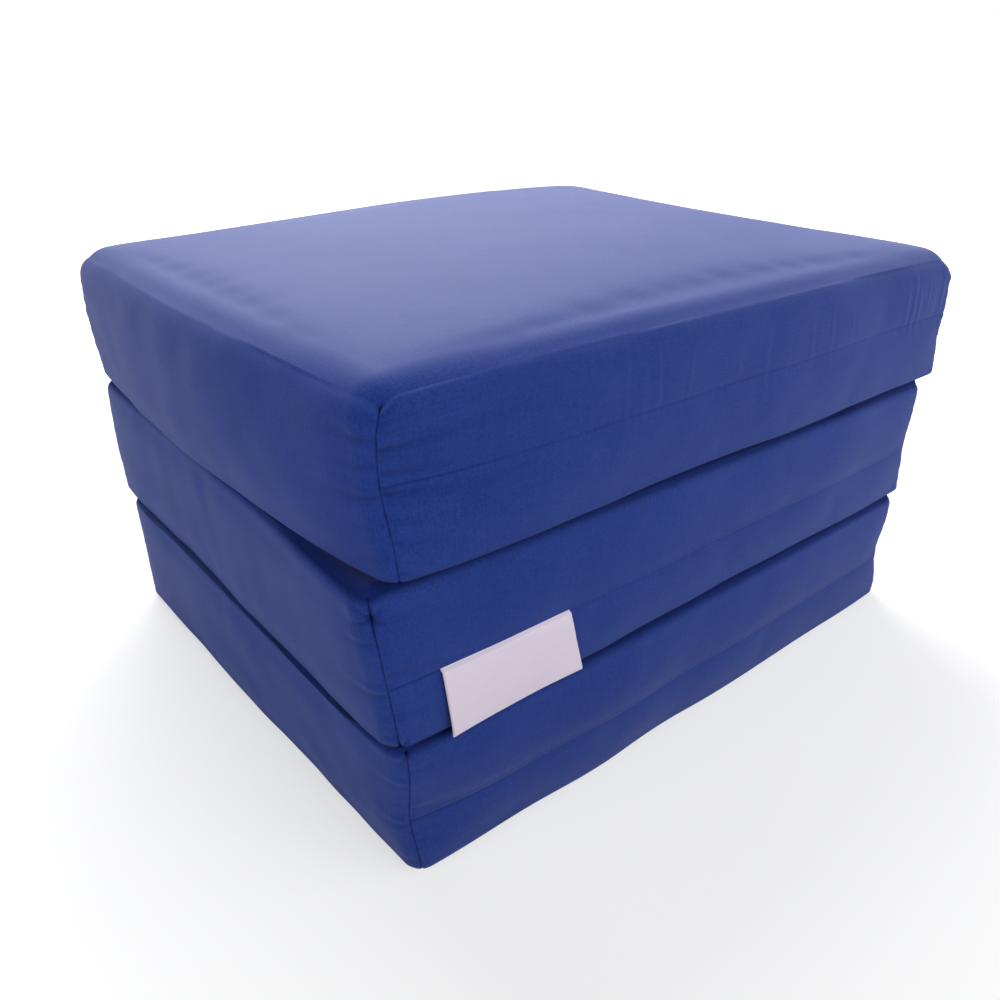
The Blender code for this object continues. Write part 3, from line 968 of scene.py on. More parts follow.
class Tree:
    """Adds nodes to one node tree."""

    def __init__(self, nodes: bpy.types.NodeTree) -> None:
        """Work on an empty or a new tree."""
        self.nodes = nodes

    def node(
        self,
        kind: str,
        settings: dict[str, object] | None = None,
        inputs: dict[str | int, object] | None = None,
    ) -> bpy.types.Node:
        """Add a node.

        Args:
            kind: The node's type.
            settings: The node's properties.
            inputs: Value, link or Term for each socket, by name or number.

        Returns:
            The new node.
        """
        made = self.nodes.nodes.new(kind)
        for name, value in (settings or {}).items():
            setattr(made, name, value)
        for key, value in (inputs or {}).items():
            self.feed(made.inputs[key], value)
        return made

    def feed(self, socket: bpy.types.NodeSocket, value: object) -> None:
        """Link a Term or an output to an input, or else set the input's own value.

        Args:
            socket: The input.
            value: What it gets.
        """
        if isinstance(value, Term):
            value = value.socket
        if isinstance(value, bpy.types.NodeSocket):
            self.nodes.links.new(value, socket)
        else:
            socket.default_value = value

    def arithmetic(self, operation: str, *values: "Term | float") -> Term:
        """A Math node on terms and plain numbers."""
        node = self.node("ShaderNodeMath", {"operation": operation}, dict(enumerate(values)))
        return Term(self, node.outputs[0])

    def value(self, node: bpy.types.Node, output: str | int = 0) -> Term:
        """One of a node's outputs, ready for arithmetic."""
        return Term(self, node.outputs[output])

    def in_view(self) -> Term:
        """1 for rays that show the studio itself: the camera's, and those through reflections."""
        rays = self.node("ShaderNodeLightPath")
        camera, glossy, through = (
            self.value(rays, f"Is {kind} Ray") for kind in ("Camera", "Glossy", "Transmission")
        )
        return camera.math("MAXIMUM", glossy).math("MAXIMUM", through)


class Surface(Tree):
    """A material's node tree, with the patterns that the finishes share."""

    def __init__(self, name: str) -> None:
        """Start a material with a shader and nothing linked."""
        self.material = bpy.data.materials.new(name)
        self.material.use_nodes = True
        super().__init__(self.material.node_tree)
        self.shader = self.nodes.nodes["Principled BSDF"]

    def shade(self, values: dict[str, object]) -> bpy.types.Material:
        """Set or link the shader's sockets.

        Args:
            values: Value, link or Term for each socket, by name.

        Returns:
            The material.
        """
        for name, value in values.items():
            self.feed(self.shader.inputs[name], value)
        return self.material

    def between(
        self, share: Term, first: bpy.types.Node, second: bpy.types.Node
    ) -> bpy.types.Node:
        """A shader that passes from one shader node to another, by a share from 0 to 1."""
        return self.node(
            "ShaderNodeMixShader", None, {0: share, 1: first.outputs[0], 2: second.outputs[0]}
        )

    def show(self, shader: bpy.types.Node) -> None:
        """Make a shader node the one that the surface shows."""
        self.feed(self.nodes.nodes["Material Output"].inputs["Surface"], shader.outputs[0])

    def sink(self, share: Term, colour: Colour) -> None:
        """Pass into a dull dark shader that stands in for shade, a painted shade which catches no
        light at a glance.

        Args:
            share: How far to pass into it, from 0 to 1.
            colour: The painted shade's colour.
        """
        # The dull dark shader of the painted shade.
        dull = self.node(
            "ShaderNodeBsdfPrincipled",
            None,
            {"Base Color": opaque(colour), "Roughness": 1.0, "Specular IOR Level": 0.0},
        )
        self.show(self.between(share, self.shader, dull))

    def place(self) -> bpy.types.NodeSocket:
        """The piece's own coordinates, in metres."""
        return self.node("ShaderNodeTexCoord").outputs["Object"]

    def layout(self, name: str) -> bpy.types.NodeSocket:
        """A UV map of the piece, in metres."""
        return self.node("ShaderNodeUVMap", {"uv_map": name}).outputs["UV"]

    def split(self, vector: bpy.types.NodeSocket) -> tuple[Term, Term, Term]:
        """A vector's three parts."""
        parts = self.node("ShaderNodeSeparateXYZ", None, {"Vector": vector})
        return self.value(parts, 0), self.value(parts, 1), self.value(parts, 2)

    def noise(
        self, vector: bpy.types.NodeSocket, per_metre: Sequence[float], detail: float = 2.0
    ) -> Term:
        """Soft noise about 0.5.

        Args:
            vector: Coordinates in metres.
            per_metre: Number of blotches in a metre on each axis.
            detail: Octaves of finer noise.

        Returns:
            The noise's value.
        """
        scaled = self.node(
            "ShaderNodeVectorMath", {"operation": "MULTIPLY"}, {0: vector, 1: tuple(per_metre)}
        )
        pattern = self.node(
            "ShaderNodeTexNoise",
            {"noise_dimensions": "3D"},
            {"Vector": scaled.outputs[0], "Scale": 1.0, "Detail": detail, "Roughness": 0.55},
        )
        return self.value(pattern, 0)

    def blend(self, share: Term, first: Colour, second: Colour) -> Term:
        """Mix two colours."""
        mixed = self.node(
            "ShaderNodeMix",
            {"data_type": "RGBA", "clamp_factor": True},
            {"Factor": share, 6: opaque(first), 7: opaque(second)},
        )
        return Term(self, mixed.outputs[2])

    def bump(self, height: Term, distance: float, strength: float = 1.0) -> Term:
        """Surface relief from a height of about 0 to 1, times a distance in metres."""
        relief = self.node(
            "ShaderNodeBump", None, {"Height": height, "Distance": distance, "Strength": strength}
        )
        return Term(self, relief.outputs[0])

    def weave(self, vector: bpy.types.NodeSocket, thread: float) -> Term:
        """Height of a plain weave, from about 0 to 1.

        Args:
            vector: Coordinates along the cloth, in metres.
            thread: Distance between neighbouring threads.

        Returns:
            The weave's height.
        """
        across, along, _ = self.split(vector)
        turns = math.pi / thread
        over = (across * turns).sine() * (along * turns).sine()
        return over * 0.5 + 0.5


def opaque(colour: Colour) -> tuple[float, float, float, float]:
    """A colour with its alpha."""
    return (*colour, 1.0)


@dataclass(frozen=True)
class CoverFabric:
    """Matt plain-woven cotton of the covers, with painted shade down in its folds and seams."""

    name: str = "cover_fabric"
    deep: Colour = (0.006, 0.030, 0.200)
    bright: Colour = (0.022, 0.054, 0.282)
    # Dark colour of the painted shade in folds, seams and between the panels.
    crease: Colour = (0.003, 0.008, 0.070)
    thread: float = 0.00052
    # Whether the painted shade from the fold attribute is added.
    folded: bool = True

    def build(self) -> bpy.types.Material:
        """Make the material."""
        cloth = Surface(self.name)
        flat = cloth.layout("cloth")
        place = cloth.place()
        weave = cloth.weave(flat, self.thread)
        warp = cloth.noise(flat, (1500.0, 45.0, 1.0))
        weft = cloth.noise(flat, (45.0, 1500.0, 1.0))
        blotch = cloth.noise(place, (16.0, 16.0, 16.0), 3.0)
        fuzz = cloth.noise(place, (650.0, 650.0, 650.0), 3.0)
        slub = warp + weft
        tone = 0.5 + 0.7 * (blotch - 0.5) + 0.9 * (slub - 1.0) + 1.8 * (fuzz - 0.5)
        colour = cloth.blend(tone.clamped(0.0, 1.0), self.deep, self.bright)
        height = 0.45 * weave + 0.25 * slub + 0.30 * fuzz
        cloth.shade(
            {
                "Base Color": colour,
                "Roughness": (0.58 + 0.14 * fuzz).clamped(0.0, 1.0),
                "Specular IOR Level": 0.08,
                "Sheen Weight": 0.22,
                "Sheen Roughness": 0.44,
                "Sheen Tint": (0.95, 0.96, 1.0, 1.0),
                "Normal": cloth.bump(height, 0.00022, 0.55),
            }
        )
        # Painted shade: the cover's fold attribute darkens seams, gather feet, pucker pits, the zip
        # slot and the rims between panels.
        if self.folded:
            fold = cloth.value(cloth.node("ShaderNodeAttribute", {"attribute_name": "fold"}), 2)
            cloth.sink(fold, self.crease)
        return cloth.material


@dataclass(frozen=True)
class Foam:
    """Pale open-cell foam."""

    name: str = "foam"
    light: Colour = (0.84, 0.80, 0.63)
    dark: Colour = (0.62, 0.55, 0.36)

    def build(self) -> bpy.types.Material:
        """Make the material."""
        foam = Surface(self.name)
        place = foam.place()
        cells = foam.node("ShaderNodeTexVoronoi", None, {"Vector": place, "Scale": 700.0})
        hollow = foam.value(cells, "Distance")
        cloud = foam.noise(place, (25.0, 25.0, 25.0))
        shade = (0.7 * hollow + 0.4 * cloud).clamped(0.0, 1.0)
        return foam.shade(
            {
                "Base Color": foam.blend(shade, self.light, self.dark),
                "Roughness": 0.95,
                "Normal": foam.bump(hollow, 0.0005, 0.6),
            }
        )


@dataclass(frozen=True)
class ZipTape:
    """Tightly woven tape, with ribs along its length."""

    name: str = "zip_tape"
    deep: Colour = (0.018, 0.030, 0.150)
    bright: Colour = (0.032, 0.050, 0.220)
    rib: float = 0.0007

    def build(self) -> bpy.types.Material:
        """Make the material."""
        tape = Surface(self.name)
        place = tape.place()
        along, _, climb = tape.split(place)
        rib = (climb * (math.pi / self.rib)).sine().size()
        slant = ((along + climb) * (math.pi / self.rib)).sine() * 0.5 + 0.5
        height = 0.6 * rib + 0.4 * slant
        return tape.shade(
            {
                "Base Color": tape.blend(height.clamped(0.0, 1.0), self.deep, self.bright),
                "Roughness": 0.85,
                "Normal": tape.bump(height, 0.0002, 0.7),
            }
        )


@dataclass(frozen=True)
class CoilPlastic:
    """Moulded blue plastic of the zip's teeth."""

    name: str = "zip_teeth"
    deep: Colour = (0.022, 0.036, 0.170)
    bright: Colour = (0.040, 0.062, 0.260)

    def build(self) -> bpy.types.Material:
        """Make the material."""
        coil = Surface(self.name)
        grain = coil.noise(coil.place(), (900.0, 900.0, 900.0))
        return coil.shade(
            {
                "Base Color": coil.blend(grain, self.deep, self.bright),
                "Roughness": (0.34 + 0.2 * grain).clamped(0.0, 1.0),
                "Normal": coil.bump(grain, 0.00005, 0.4),
            }
        )


@dataclass(frozen=True)
class NickelPlate:
    """Nickel-plated zinc with fine brush marks and small scuffs."""

    name: str = "zip_metal"
    light: Colour = (0.66, 0.65, 0.63)
    dull: Colour = (0.44, 0.43, 0.42)

    def build(self) -> bpy.types.Material:
        """Make the material."""
        metal = Surface(self.name)
        place = metal.place()
        brushed = metal.noise(place, (500.0, 4000.0, 9000.0))
        scuff = metal.noise(place, (700.0, 700.0, 700.0), 4.0)
        return metal.shade(
            {
                "Base Color": metal.blend(scuff, self.light, self.dull),
                "Metallic": 1.0,
                "Roughness": (0.16 + 0.22 * scuff + 0.10 * brushed).clamped(0.0, 1.0),
                "Normal": metal.bump(brushed, 0.00003, 0.3),
            }
        )


@dataclass(frozen=True)
class SatinRibbon:
    """White satin ribbon with a faint lilac cast."""

    name: str = "label_fabric"
    light: Colour = (0.88, 0.785, 0.91)
    dark: Colour = (0.79, 0.685, 0.83)
    thread: float = 0.00045

    def build(self) -> bpy.types.Material:
        """Make the material."""
        satin = Surface(self.name)
        flat = satin.layout("cloth")
        across, along, _ = satin.split(flat)
        threads = (along * (math.pi / self.thread)).sine().size()
        floats = (across * (math.pi / (5.0 * self.thread))).sine().size()
        cloud = satin.noise(flat, (30.0, 30.0, 30.0), 3.0)
        streak = satin.noise(flat, (25.0, 1200.0, 1.0))
        tone = (0.55 * cloud + 0.35 * streak + 0.15 * threads).clamped(0.0, 1.0)
        return satin.shade(
            {
                "Base Color": satin.blend(tone, self.light, self.dark),
                "Roughness": (0.40 + 0.18 * streak).clamped(0.0, 1.0),
                "Sheen Weight": 0.15,
                "Normal": satin.bump(0.6 * threads + 0.2 * floats + 0.2 * streak, 0.00012, 0.5),
            }
        )


@dataclass(frozen=True)
class SewingThread:
    """Twisted polyester thread, a little lighter than the cloth."""

    name: str = "sewing_thread"
    deep: Colour = (0.030, 0.050, 0.230)
    bright: Colour = (0.060, 0.090, 0.340)

    def build(self) -> bpy.types.Material:
        """Make the material."""
        thread = Surface(self.name)
        along, across, climb = thread.split(thread.place())
        twist = ((along + climb + across) * (math.pi / 0.00035)).sine() * 0.5 + 0.5
        return thread.shade(
            {
                "Base Color": thread.blend(twist, self.deep, self.bright),
                "Roughness": 0.6,
                "Normal": thread.bump(twist, 0.00006, 0.5),
            }
        )


# Pieces that repeat along a path


class CopiesAlongPath(Tree):
    """Geometry nodes that set copies of a template along a path, turned to follow it."""

    def __init__(self) -> None:
        """Build the tree, with named inputs for its sizes."""
        super().__init__(bpy.data.node_groups.new("copies_along_path", "GeometryNodeTree"))
        kinds = {
            "Path": "NodeSocketGeometry",
            "Template": "NodeSocketObject",
            "Pitch": "NodeSocketFloat",
            "Jitter": "NodeSocketFloat",
            "Seed": "NodeSocketInt",
            "Material": "NodeSocketMaterial",
        }
        for name, kind in kinds.items():
            self.nodes.interface.new_socket(name, in_out="INPUT", socket_type=kind)
        self.nodes.interface.new_socket("Copies", in_out="OUTPUT", socket_type=kinds["Path"])
        given = self.node("NodeGroupInput")
        line = self.node("GeometryNodeMeshToCurve", None, {"Mesh": given.outputs["Path"]})
        points = self.node(
            "GeometryNodeCurveToPoints",
            {"mode": "LENGTH"},
            {"Curve": line.outputs[0], "Length": given.outputs["Pitch"]},
        )
        facing = self.node(
            "FunctionNodeAlignRotationToVector",
            {"axis": "X"},
            {"Vector": points.outputs["Tangent"]},
        )
        jitter = given.outputs["Jitter"]
        spread = self.node("ShaderNodeCombineXYZ", None, {"Y": jitter, "Z": jitter})
        least = self.node(
            "ShaderNodeVectorMath", {"operation": "SCALE"}, {0: spread.outputs[0], "Scale": -1.0}
        )
        wobble = self.node(
            "FunctionNodeRandomValue",
            {"data_type": "FLOAT_VECTOR"},
            {0: least.outputs[0], 1: spread.outputs[0], "Seed": given.outputs["Seed"]},
        )
        turned = self.node(
            "FunctionNodeRotateRotation",
            {"rotation_space": "LOCAL"},
            {"Rotation": facing.outputs[0], "Rotate By": wobble.outputs[0]},
        )
        shape = self.node("GeometryNodeObjectInfo", None, {"Object": given.outputs["Template"]})
        placed = self.node(
            "GeometryNodeInstanceOnPoints",
            None,
            {
                "Points": points.outputs["Points"],
                "Instance": shape.outputs["Geometry"],
                "Rotation": turned.outputs[0],
            },
        )
        real = self.node("GeometryNodeRealizeInstances", None, {0: placed.outputs[0]})
        dressed = self.node(
            "GeometryNodeSetMaterial",
            None,
            {"Geometry": real.outputs[0], "Material": given.outputs["Material"]},
        )
        self.node("NodeGroupOutput", None, {0: dressed.outputs[0]})

    def make(
        self,
        name: str,
        path: Sequence[Sequence[float]],
        template: bpy.types.Object,
        pitch: float,
        finish: bpy.types.Material,
        jitter: float = 0.0,
    ) -> bpy.types.Object:
        """Make one piece from copies of a template.

        Args:
            name: The piece's name.
            path: Points that the copies follow.
            template: What is copied; its X axis follows the path.
            pitch: Distance between copies.
            finish: The copies' material.
            jitter: Most that a copy is turned at random, in radians.

        Returns:
            The piece, as a plain mesh.
        """
        mesh = bpy.data.meshes.new(name)
        edges = [(k, k + 1) for k in range(len(path) - 1)]
        mesh.from_pydata([tuple(point) for point in path], edges, [])
        piece = add_object(name, mesh)
        copies = piece.modifiers.new("copies", "NODES")
        copies.node_group = self.nodes
        values = {
            "Template": template,
            "Pitch": pitch,
            "Jitter": jitter,
            "Seed": 7,
            "Material": finish,
        }
        for item in self.nodes.interface.items_tree:
            if item.in_out == "INPUT" and item.name in values:
                copies[item.identifier] = values[item.name]
        depsgraph = bpy.context.evaluated_depsgraph_get()
        made = bpy.data.meshes.new_from_object(piece.evaluated_get(depsgraph))
        piece.modifiers.clear()
        piece.data = made
        made.name = name
        bpy.data.meshes.remove(mesh)
        return piece


def template_of(
    name: str, points: Sequence[Sequence[float]], faces: Sequence[Sequence[int]]
) -> bpy.types.Object:
    """A smooth template to copy, which is removed once it has been copied."""
    mesh = bpy.data.meshes.new(name)
    mesh.from_pydata(points, [], faces)
    mesh.shade_smooth()
    return add_object(name, mesh)


def capsule(name: str, length: float, thickness: float, turns: int = 6) -> bpy.types.Object:
    """A short rounded rod along X, as a stitch shows.

    Args:
        name: The template's name.
        length: Its length.
        thickness: Its diameter.
        turns: Number of sides.

    Returns:
        The template.
    """
    radius = thickness / 2.0
    inner = length / 2.0 - radius
    rings = [
        (-inner - radius * 0.75, radius * 0.62),
        (-inner, radius),
        (inner, radius),
        (inner + radius * 0.75, radius * 0.62),
    ]
    points = [(-inner - radius, 0.0, 0.0)]
    for along, reach in rings:
        for turn in range(turns):
            angle = 2.0 * math.pi * turn / turns
            points.append((along, reach * math.cos(angle), reach * math.sin(angle)))
    points.append((inner + radius, 0.0, 0.0))
    faces = [[0, 1 + (k + 1) % turns, 1 + k] for k in range(turns)]
    for ring in range(len(rings) - 1):
        start = 1 + ring * turns
        for k in range(turns):
            here, beyond = start + k, start + (k + 1) % turns
            faces.append([here, beyond, beyond + turns, here + turns])
    last = len(points) - 1
    faces += [[last, last - turns + k, last - turns + (k + 1) % turns] for k in range(turns)]
    return template_of(name, points, faces)


@dataclass
class ClothBand:
    """A thin cloth strip or tab, built from the surface through its middle."""

    name: str
    thickness: float

    def build(self, middle: Array, finish: bpy.types.Material) -> bpy.types.Object:
        """Give a surface its thickness, as a closed shell with its own cloth layout.

        Args:
            middle: Table of points, by rows and columns, on the cloth's middle surface.
            finish: The cloth's material.

        Returns:
            The new piece.
        """
        rows, columns = middle.shape[:2]
        down = np.gradient(middle, axis=0)
        across = np.gradient(middle, axis=1)
        normal = np.cross(down, across)
        normal /= np.linalg.norm(normal, axis=2, keepdims=True)
        shells = [middle + normal * s * self.thickness / 2.0 for s in (1, -1)]
        number = np.arange(rows * columns).reshape(rows, columns)
        back = number + rows * columns
        tops = [number[:-1, :-1], number[1:, :-1], number[1:, 1:], number[:-1, 1:]]
        quads = [np.stack(tops, axis=-1).reshape(-1, 4)]
        quads.append(quads[0][:, ::-1] + rows * columns)
        for edge, far in (
            (number[:, 0], back[:, 0]),
            (number[-1], back[-1]),
            (number[::-1, -1], back[::-1, -1]),
            (number[0, ::-1], back[0, ::-1]),
        ):
            quads.append(np.stack([edge[:-1], far[:-1], far[1:], edge[1:]], axis=-1))
        quads = np.concatenate(quads)
        points = np.concatenate([shell.reshape(-1, 3) for shell in shells])
        mesh = mesh_of(self.name, points, quads)
        layout = np.stack([self.lengths(middle, 1), self.lengths(middle, 0)], axis=-1)
        layout = np.tile(layout.reshape(-1, 2), (2, 1))
        mesh.uv_layers.new(name="cloth").data.foreach_set("uv", layout[quads.ravel()].ravel())
        mesh.materials.append(finish)
        piece = add_object(self.name, mesh)
        note(piece)
        return piece

    def lengths(self, middle: Array, axis: int) -> Array:
        """Distance along the cloth from its first row or column."""
        steps = np.linalg.norm(np.diff(middle, axis=axis), axis=2)
        first = np.zeros_like(np.take(steps, [0], axis=axis))
        return np.cumsum(np.concatenate([first, steps], axis=axis), axis=axis)


@dataclass
class HingeStrip:
    """Strip of cover cloth that two panels fold on, folded flat between them at rest."""

    name: str
    lower_flap: str
    upper_flap: str
    bodies: tuple[str, str]
    thickness: float = 0.00024
    inner_reach: float = 0.0082
    fold_back: float = 0.0006
    fold_radius: float = 0.00020
    end_tuck: float = 0.0075
    half_blend: float = 0.00012
    flat_columns: int = 12
    rows: int = 280
    seed: int = 3

    def build(self, finish: bpy.types.Material) -> bpy.types.Object:
        """Build the strip over the two flaps of the frame.

        Args:
            finish: The strip's material.

        Returns:
            The strip.
        """
        low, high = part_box(self.lower_flap)
        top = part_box(self.upper_flap)[1].z
        side = 1.0 if low.x > 0.0 else -1.0
        tip = max(abs(low.x), abs(high.x)) - self.thickness / 2.0
        fold = (low.z + top) / 2.0
        rng = np.random.default_rng(self.seed)
        along = np.linspace(low.y, high.y, self.rows)
        inner = np.linspace(self.inner_reach, self.fold_back, self.flat_columns)
        turn = np.linspace(-0.5, 0.5, 9) * math.pi
        bend = self.fold_radius * np.cos(turn) - self.fold_back
        out = np.concatenate([-inner, bend, -inner[::-1]])
        flat = np.full(self.flat_columns, self.fold_radius)
        lift = np.concatenate([-flat, self.fold_radius * np.sin(turn), flat])
        wave = np.zeros_like(along)
        for wavelength in (0.110, 0.047, 0.019):
            phase = rng.uniform(0.0, 2.0 * math.pi)
            wave += 0.006 * wavelength * np.sin(2.0 * math.pi * along / wavelength + phase)
        droop = smooth_step(-0.0045, 0.0, out)
        middle = np.empty((len(along), len(out), 3))
        ends = np.minimum(along - low.y, high.y - along)
        tuck = self.end_tuck * smooth_step(0.034, 0.0, ends) + 0.4 * np.abs(wave) + 0.0003
        middle[:, :, 0] = side * (tip + out[None, :] - tuck[:, None])
        middle[:, :, 1] = along[:, None]
        middle[:, :, 2] = fold + lift[None, :] + 0.45 * wave[:, None] * droop[None, :]
        piece = ClothBand(self.name, self.thickness).build(middle, finish)
        start = (side * tip, 0.0, fold - self.half_blend)
        end = (side * tip, 0.0, fold + self.half_blend)
        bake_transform(piece)
        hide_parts(self.lower_flap, self.upper_flap)
        return piece


@dataclass
class LabelTab:
    """Bare satin tab, folded double at its foot and sewn into the middle cover's front seam."""

    panel: Panel
    below: Panel
    left: float = -0.2680
    right: float = -0.1630
    foot_left: float = -0.2640
    foot_right: float = -0.1510
    drop_left: float = 0.0520
    drop_right: float = 0.0535
    lift_top: float = 0.0010
    tilt_top: float = 0.0015
    sag: float = 0.0018
    curl: float = 0.0022
    clearance: float = 0.0004
    doubled: float = 0.0011
    tuck: float = 0.0030
    thickness: float = 0.00034
    bare_front: float = -0.2495
    bridged: tuple[float, ...] = (-0.009, -0.006, -0.003, 0.0, 0.003, 0.006, 0.009)

    def build(self, finish: bpy.types.Material) -> bpy.types.Object:
        """Hang the tab from the seam, over the swell of the cover.

        Args:
            finish: The tab's material.

        Returns:
            The tab.
        """
        across = np.linspace(0.0, 1.0, 64)
        front = np.concatenate([np.linspace(0.0, 0.12, 14)[:-1], np.linspace(0.12, 1.0, 40)])
        bend = np.linspace(0.0, math.pi, 9)[1:-1]
        top = self.panel.seam + self.lift_top
        share = np.concatenate([front, np.full(len(bend), 1.0), front[::-1]])
        gap = np.concatenate(
            [np.full(len(front), 1.0), np.cos(bend) * 0.5 + 0.5, np.zeros(len(front))]
        )
        below = np.concatenate([0.0 * front, np.sin(bend) * 0.0006, 0.0 * front])
        covers = [panel.surface_probe() for panel in (self.panel, self.below)]
        middle = np.empty((len(share), len(across), 3))
        for column, u in enumerate(across):
            head = mix(self.left, self.right, u)
            foot = mix(self.foot_left, self.foot_right, u)
            drop = mix(self.drop_left, self.drop_right, u) + self.sag * math.sin(math.pi * u)
            x = mix(head, foot, share**1.1)
            z = top + self.tilt_top * u - drop * share - below
            y = np.array([self.rest_on(covers, a, b) for a, b in zip(x, z)])
            curl = self.curl * share**2 * (0.55 + abs(2.0 * u - 1.0) ** 3 * (0.9 - 0.6 * u))
            curl = curl + 0.0010 * np.sin(2.6 * share + 4.0 * u) * share
            tucked = smooth_step(0.060, 0.0, share)
            middle[:, column, 0] = x
            lying = y - self.clearance - self.doubled * gap
            middle[:, column, 1] = lying - np.maximum(curl, 0.0) + self.tuck * tucked
            middle[:, column, 2] = z
        piece = ClothBand("satin_label_tab", self.thickness).build(middle, finish)
        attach(piece, "middle_panel")
        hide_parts("label_tab")
        covers = [self.panel.cover, self.below.cover]
        return piece

    def rest_on(self, covers: list[Probe], across: float, height: float) -> float:
        """Front of the covers at a place, as a piece of cloth that bridges their dips would lie."""
        reaches = []
        for step in self.bridged:
            start = Vector((across, -OUTSIDE, height + step))
            found = [meet(start, Vector((0.0, 1.0, 0.0))).y for meet in covers]
            reaches.append(min((y for y in found if y > 0.01 - OUTSIDE), default=self.bare_front))
        return float(np.mean(sorted(reaches)[:3]))


@dataclass
class Zip:
    """A zip in a cover's rear side: its teeth, its stitching and its dressed metal."""

    panel: Panel
    copies: CopiesAlongPath
    pitch: float = 0.0015
    tooth: tuple[float, float] = (0.0030, 0.00072)
    stitch: tuple[float, float] = (0.0023, 0.00042)
    stitch_pitch: float = 0.0030
    stitch_lift: float = 0.00008
    stitch_past: float = 0.004

    @property
    def word(self) -> str:
        """The panel's name in the frame."""
        return self.panel.level.word

    def build(self, finishes: dict[str, bpy.types.Material]) -> None:
        """Make the teeth and stitches, and give the frame's own pieces their finishes.

        Args:
            finishes: Materials by name.
        """
        for part in ("slider", "pull", "stop_left", "stop_right"):
            dress(f"{self.word}_zip_{part}", finishes["zip_metal"])
        for side in ROWS:
            dress(f"{self.word}_zip_tape_{side}", finishes["zip_tape"])
            self.teeth(side, finishes["zip_teeth"])
            self.stitching(side, finishes["sewing_thread"])

    def teeth(self, side: str, finish: bpy.types.Material) -> bpy.types.Object:
        """One row of coil teeth, half a pitch out of step with the other row."""
        node = f"{self.word}_zip_teeth_{side}"
        low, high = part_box(node)
        sign = ROWS[side]
        shift = 0.25 * self.pitch * sign
        depth = (low.y + high.y) / 2.0
        middle = (low.z + high.z) / 2.0 - 0.0002 * sign
        template = tooth_loop("tooth", self.tooth[0], high.y - low.y, self.tooth[1])
        path = [(low.x + 0.001 + shift, depth, middle), (high.x - 0.001 + shift, depth, middle)]
        piece = self.copies.make(f"{self.word}_coil_{side}", path, template, self.pitch, finish)
        discard(template)
        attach(piece, f"{self.word}_panel")
        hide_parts(node)
        note(piece)
        return piece

    def stitching(self, side: str, finish: bpy.types.Material) -> bpy.types.Object:
        """One line of stitches through the cover and the tape, laid on the cover."""
        height = self.panel.seam + ROWS[side] * STITCH_OFFSET
        meet = self.panel.surface_probe()
        reach = self.panel.zip_half + self.stitch_past
        path = []
        for x in np.linspace(-reach, reach, 180):
            found = meet(Vector((x, OUTSIDE, height)), Vector((0.0, -1.0, 0.0)))
            path.append((x, found.y + self.stitch_lift, height))
        template = capsule("stitch", *self.stitch)
        name = f"{self.word}_stitches_{side}"
        piece = self.copies.make(name, path, template, self.stitch_pitch, finish, 0.06)
        discard(template)
        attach(piece, f"{self.word}_panel")
        note(piece)
        return piece


def tooth_loop(name: str, length: float, depth: float, width: float) -> bpy.types.Object:
    """A flattened ring that lies across the zip, as one turn of a coil shows.

    Args:
        name: The template's name.
        length: Size across the zip.
        depth: Size into the cover.
        width: Size along the zip.

    Returns:
        The template.
    """
    turns, around = 8, 4
    wire = width / 2.0
    points, faces = [], []
    for turn in range(turns):
        angle = 2.0 * math.pi * turn / turns
        across, into = math.cos(angle), math.sin(angle)
        for k in range(around):
            swing = 2.0 * math.pi * (k + 0.5) / around
            out = wire * math.cos(swing)
            points.append(
                (
                    wire * math.sin(swing),
                    (depth / 2.0 - wire + out) * into,
                    (length / 2.0 - wire + out) * across,
                )
            )
    for turn in range(turns):
        for k in range(around):
            here, beyond = turn * around, (turn + 1) % turns * around
            after = (k + 1) % around
            faces.append([here + k, here + after, beyond + after, beyond + k])
    return template_of(name, points, faces)


def discard(template: bpy.types.Object) -> None:
    """Remove a template that has been copied."""
    mesh = template.data
    bpy.data.objects.remove(template, do_unlink=True)
    bpy.data.meshes.remove(mesh)


def dress(node: str, finish: bpy.types.Material) -> None:
    """Give a piece of the frame a finish."""
    item = bpy.data.objects[node]
    if not item.data.materials:
        item.data.materials.append(finish)
    for slot in item.material_slots:
        slot.material = finish
    LOG.info("%s: kept, with %s", node, finish.name)


# Studio


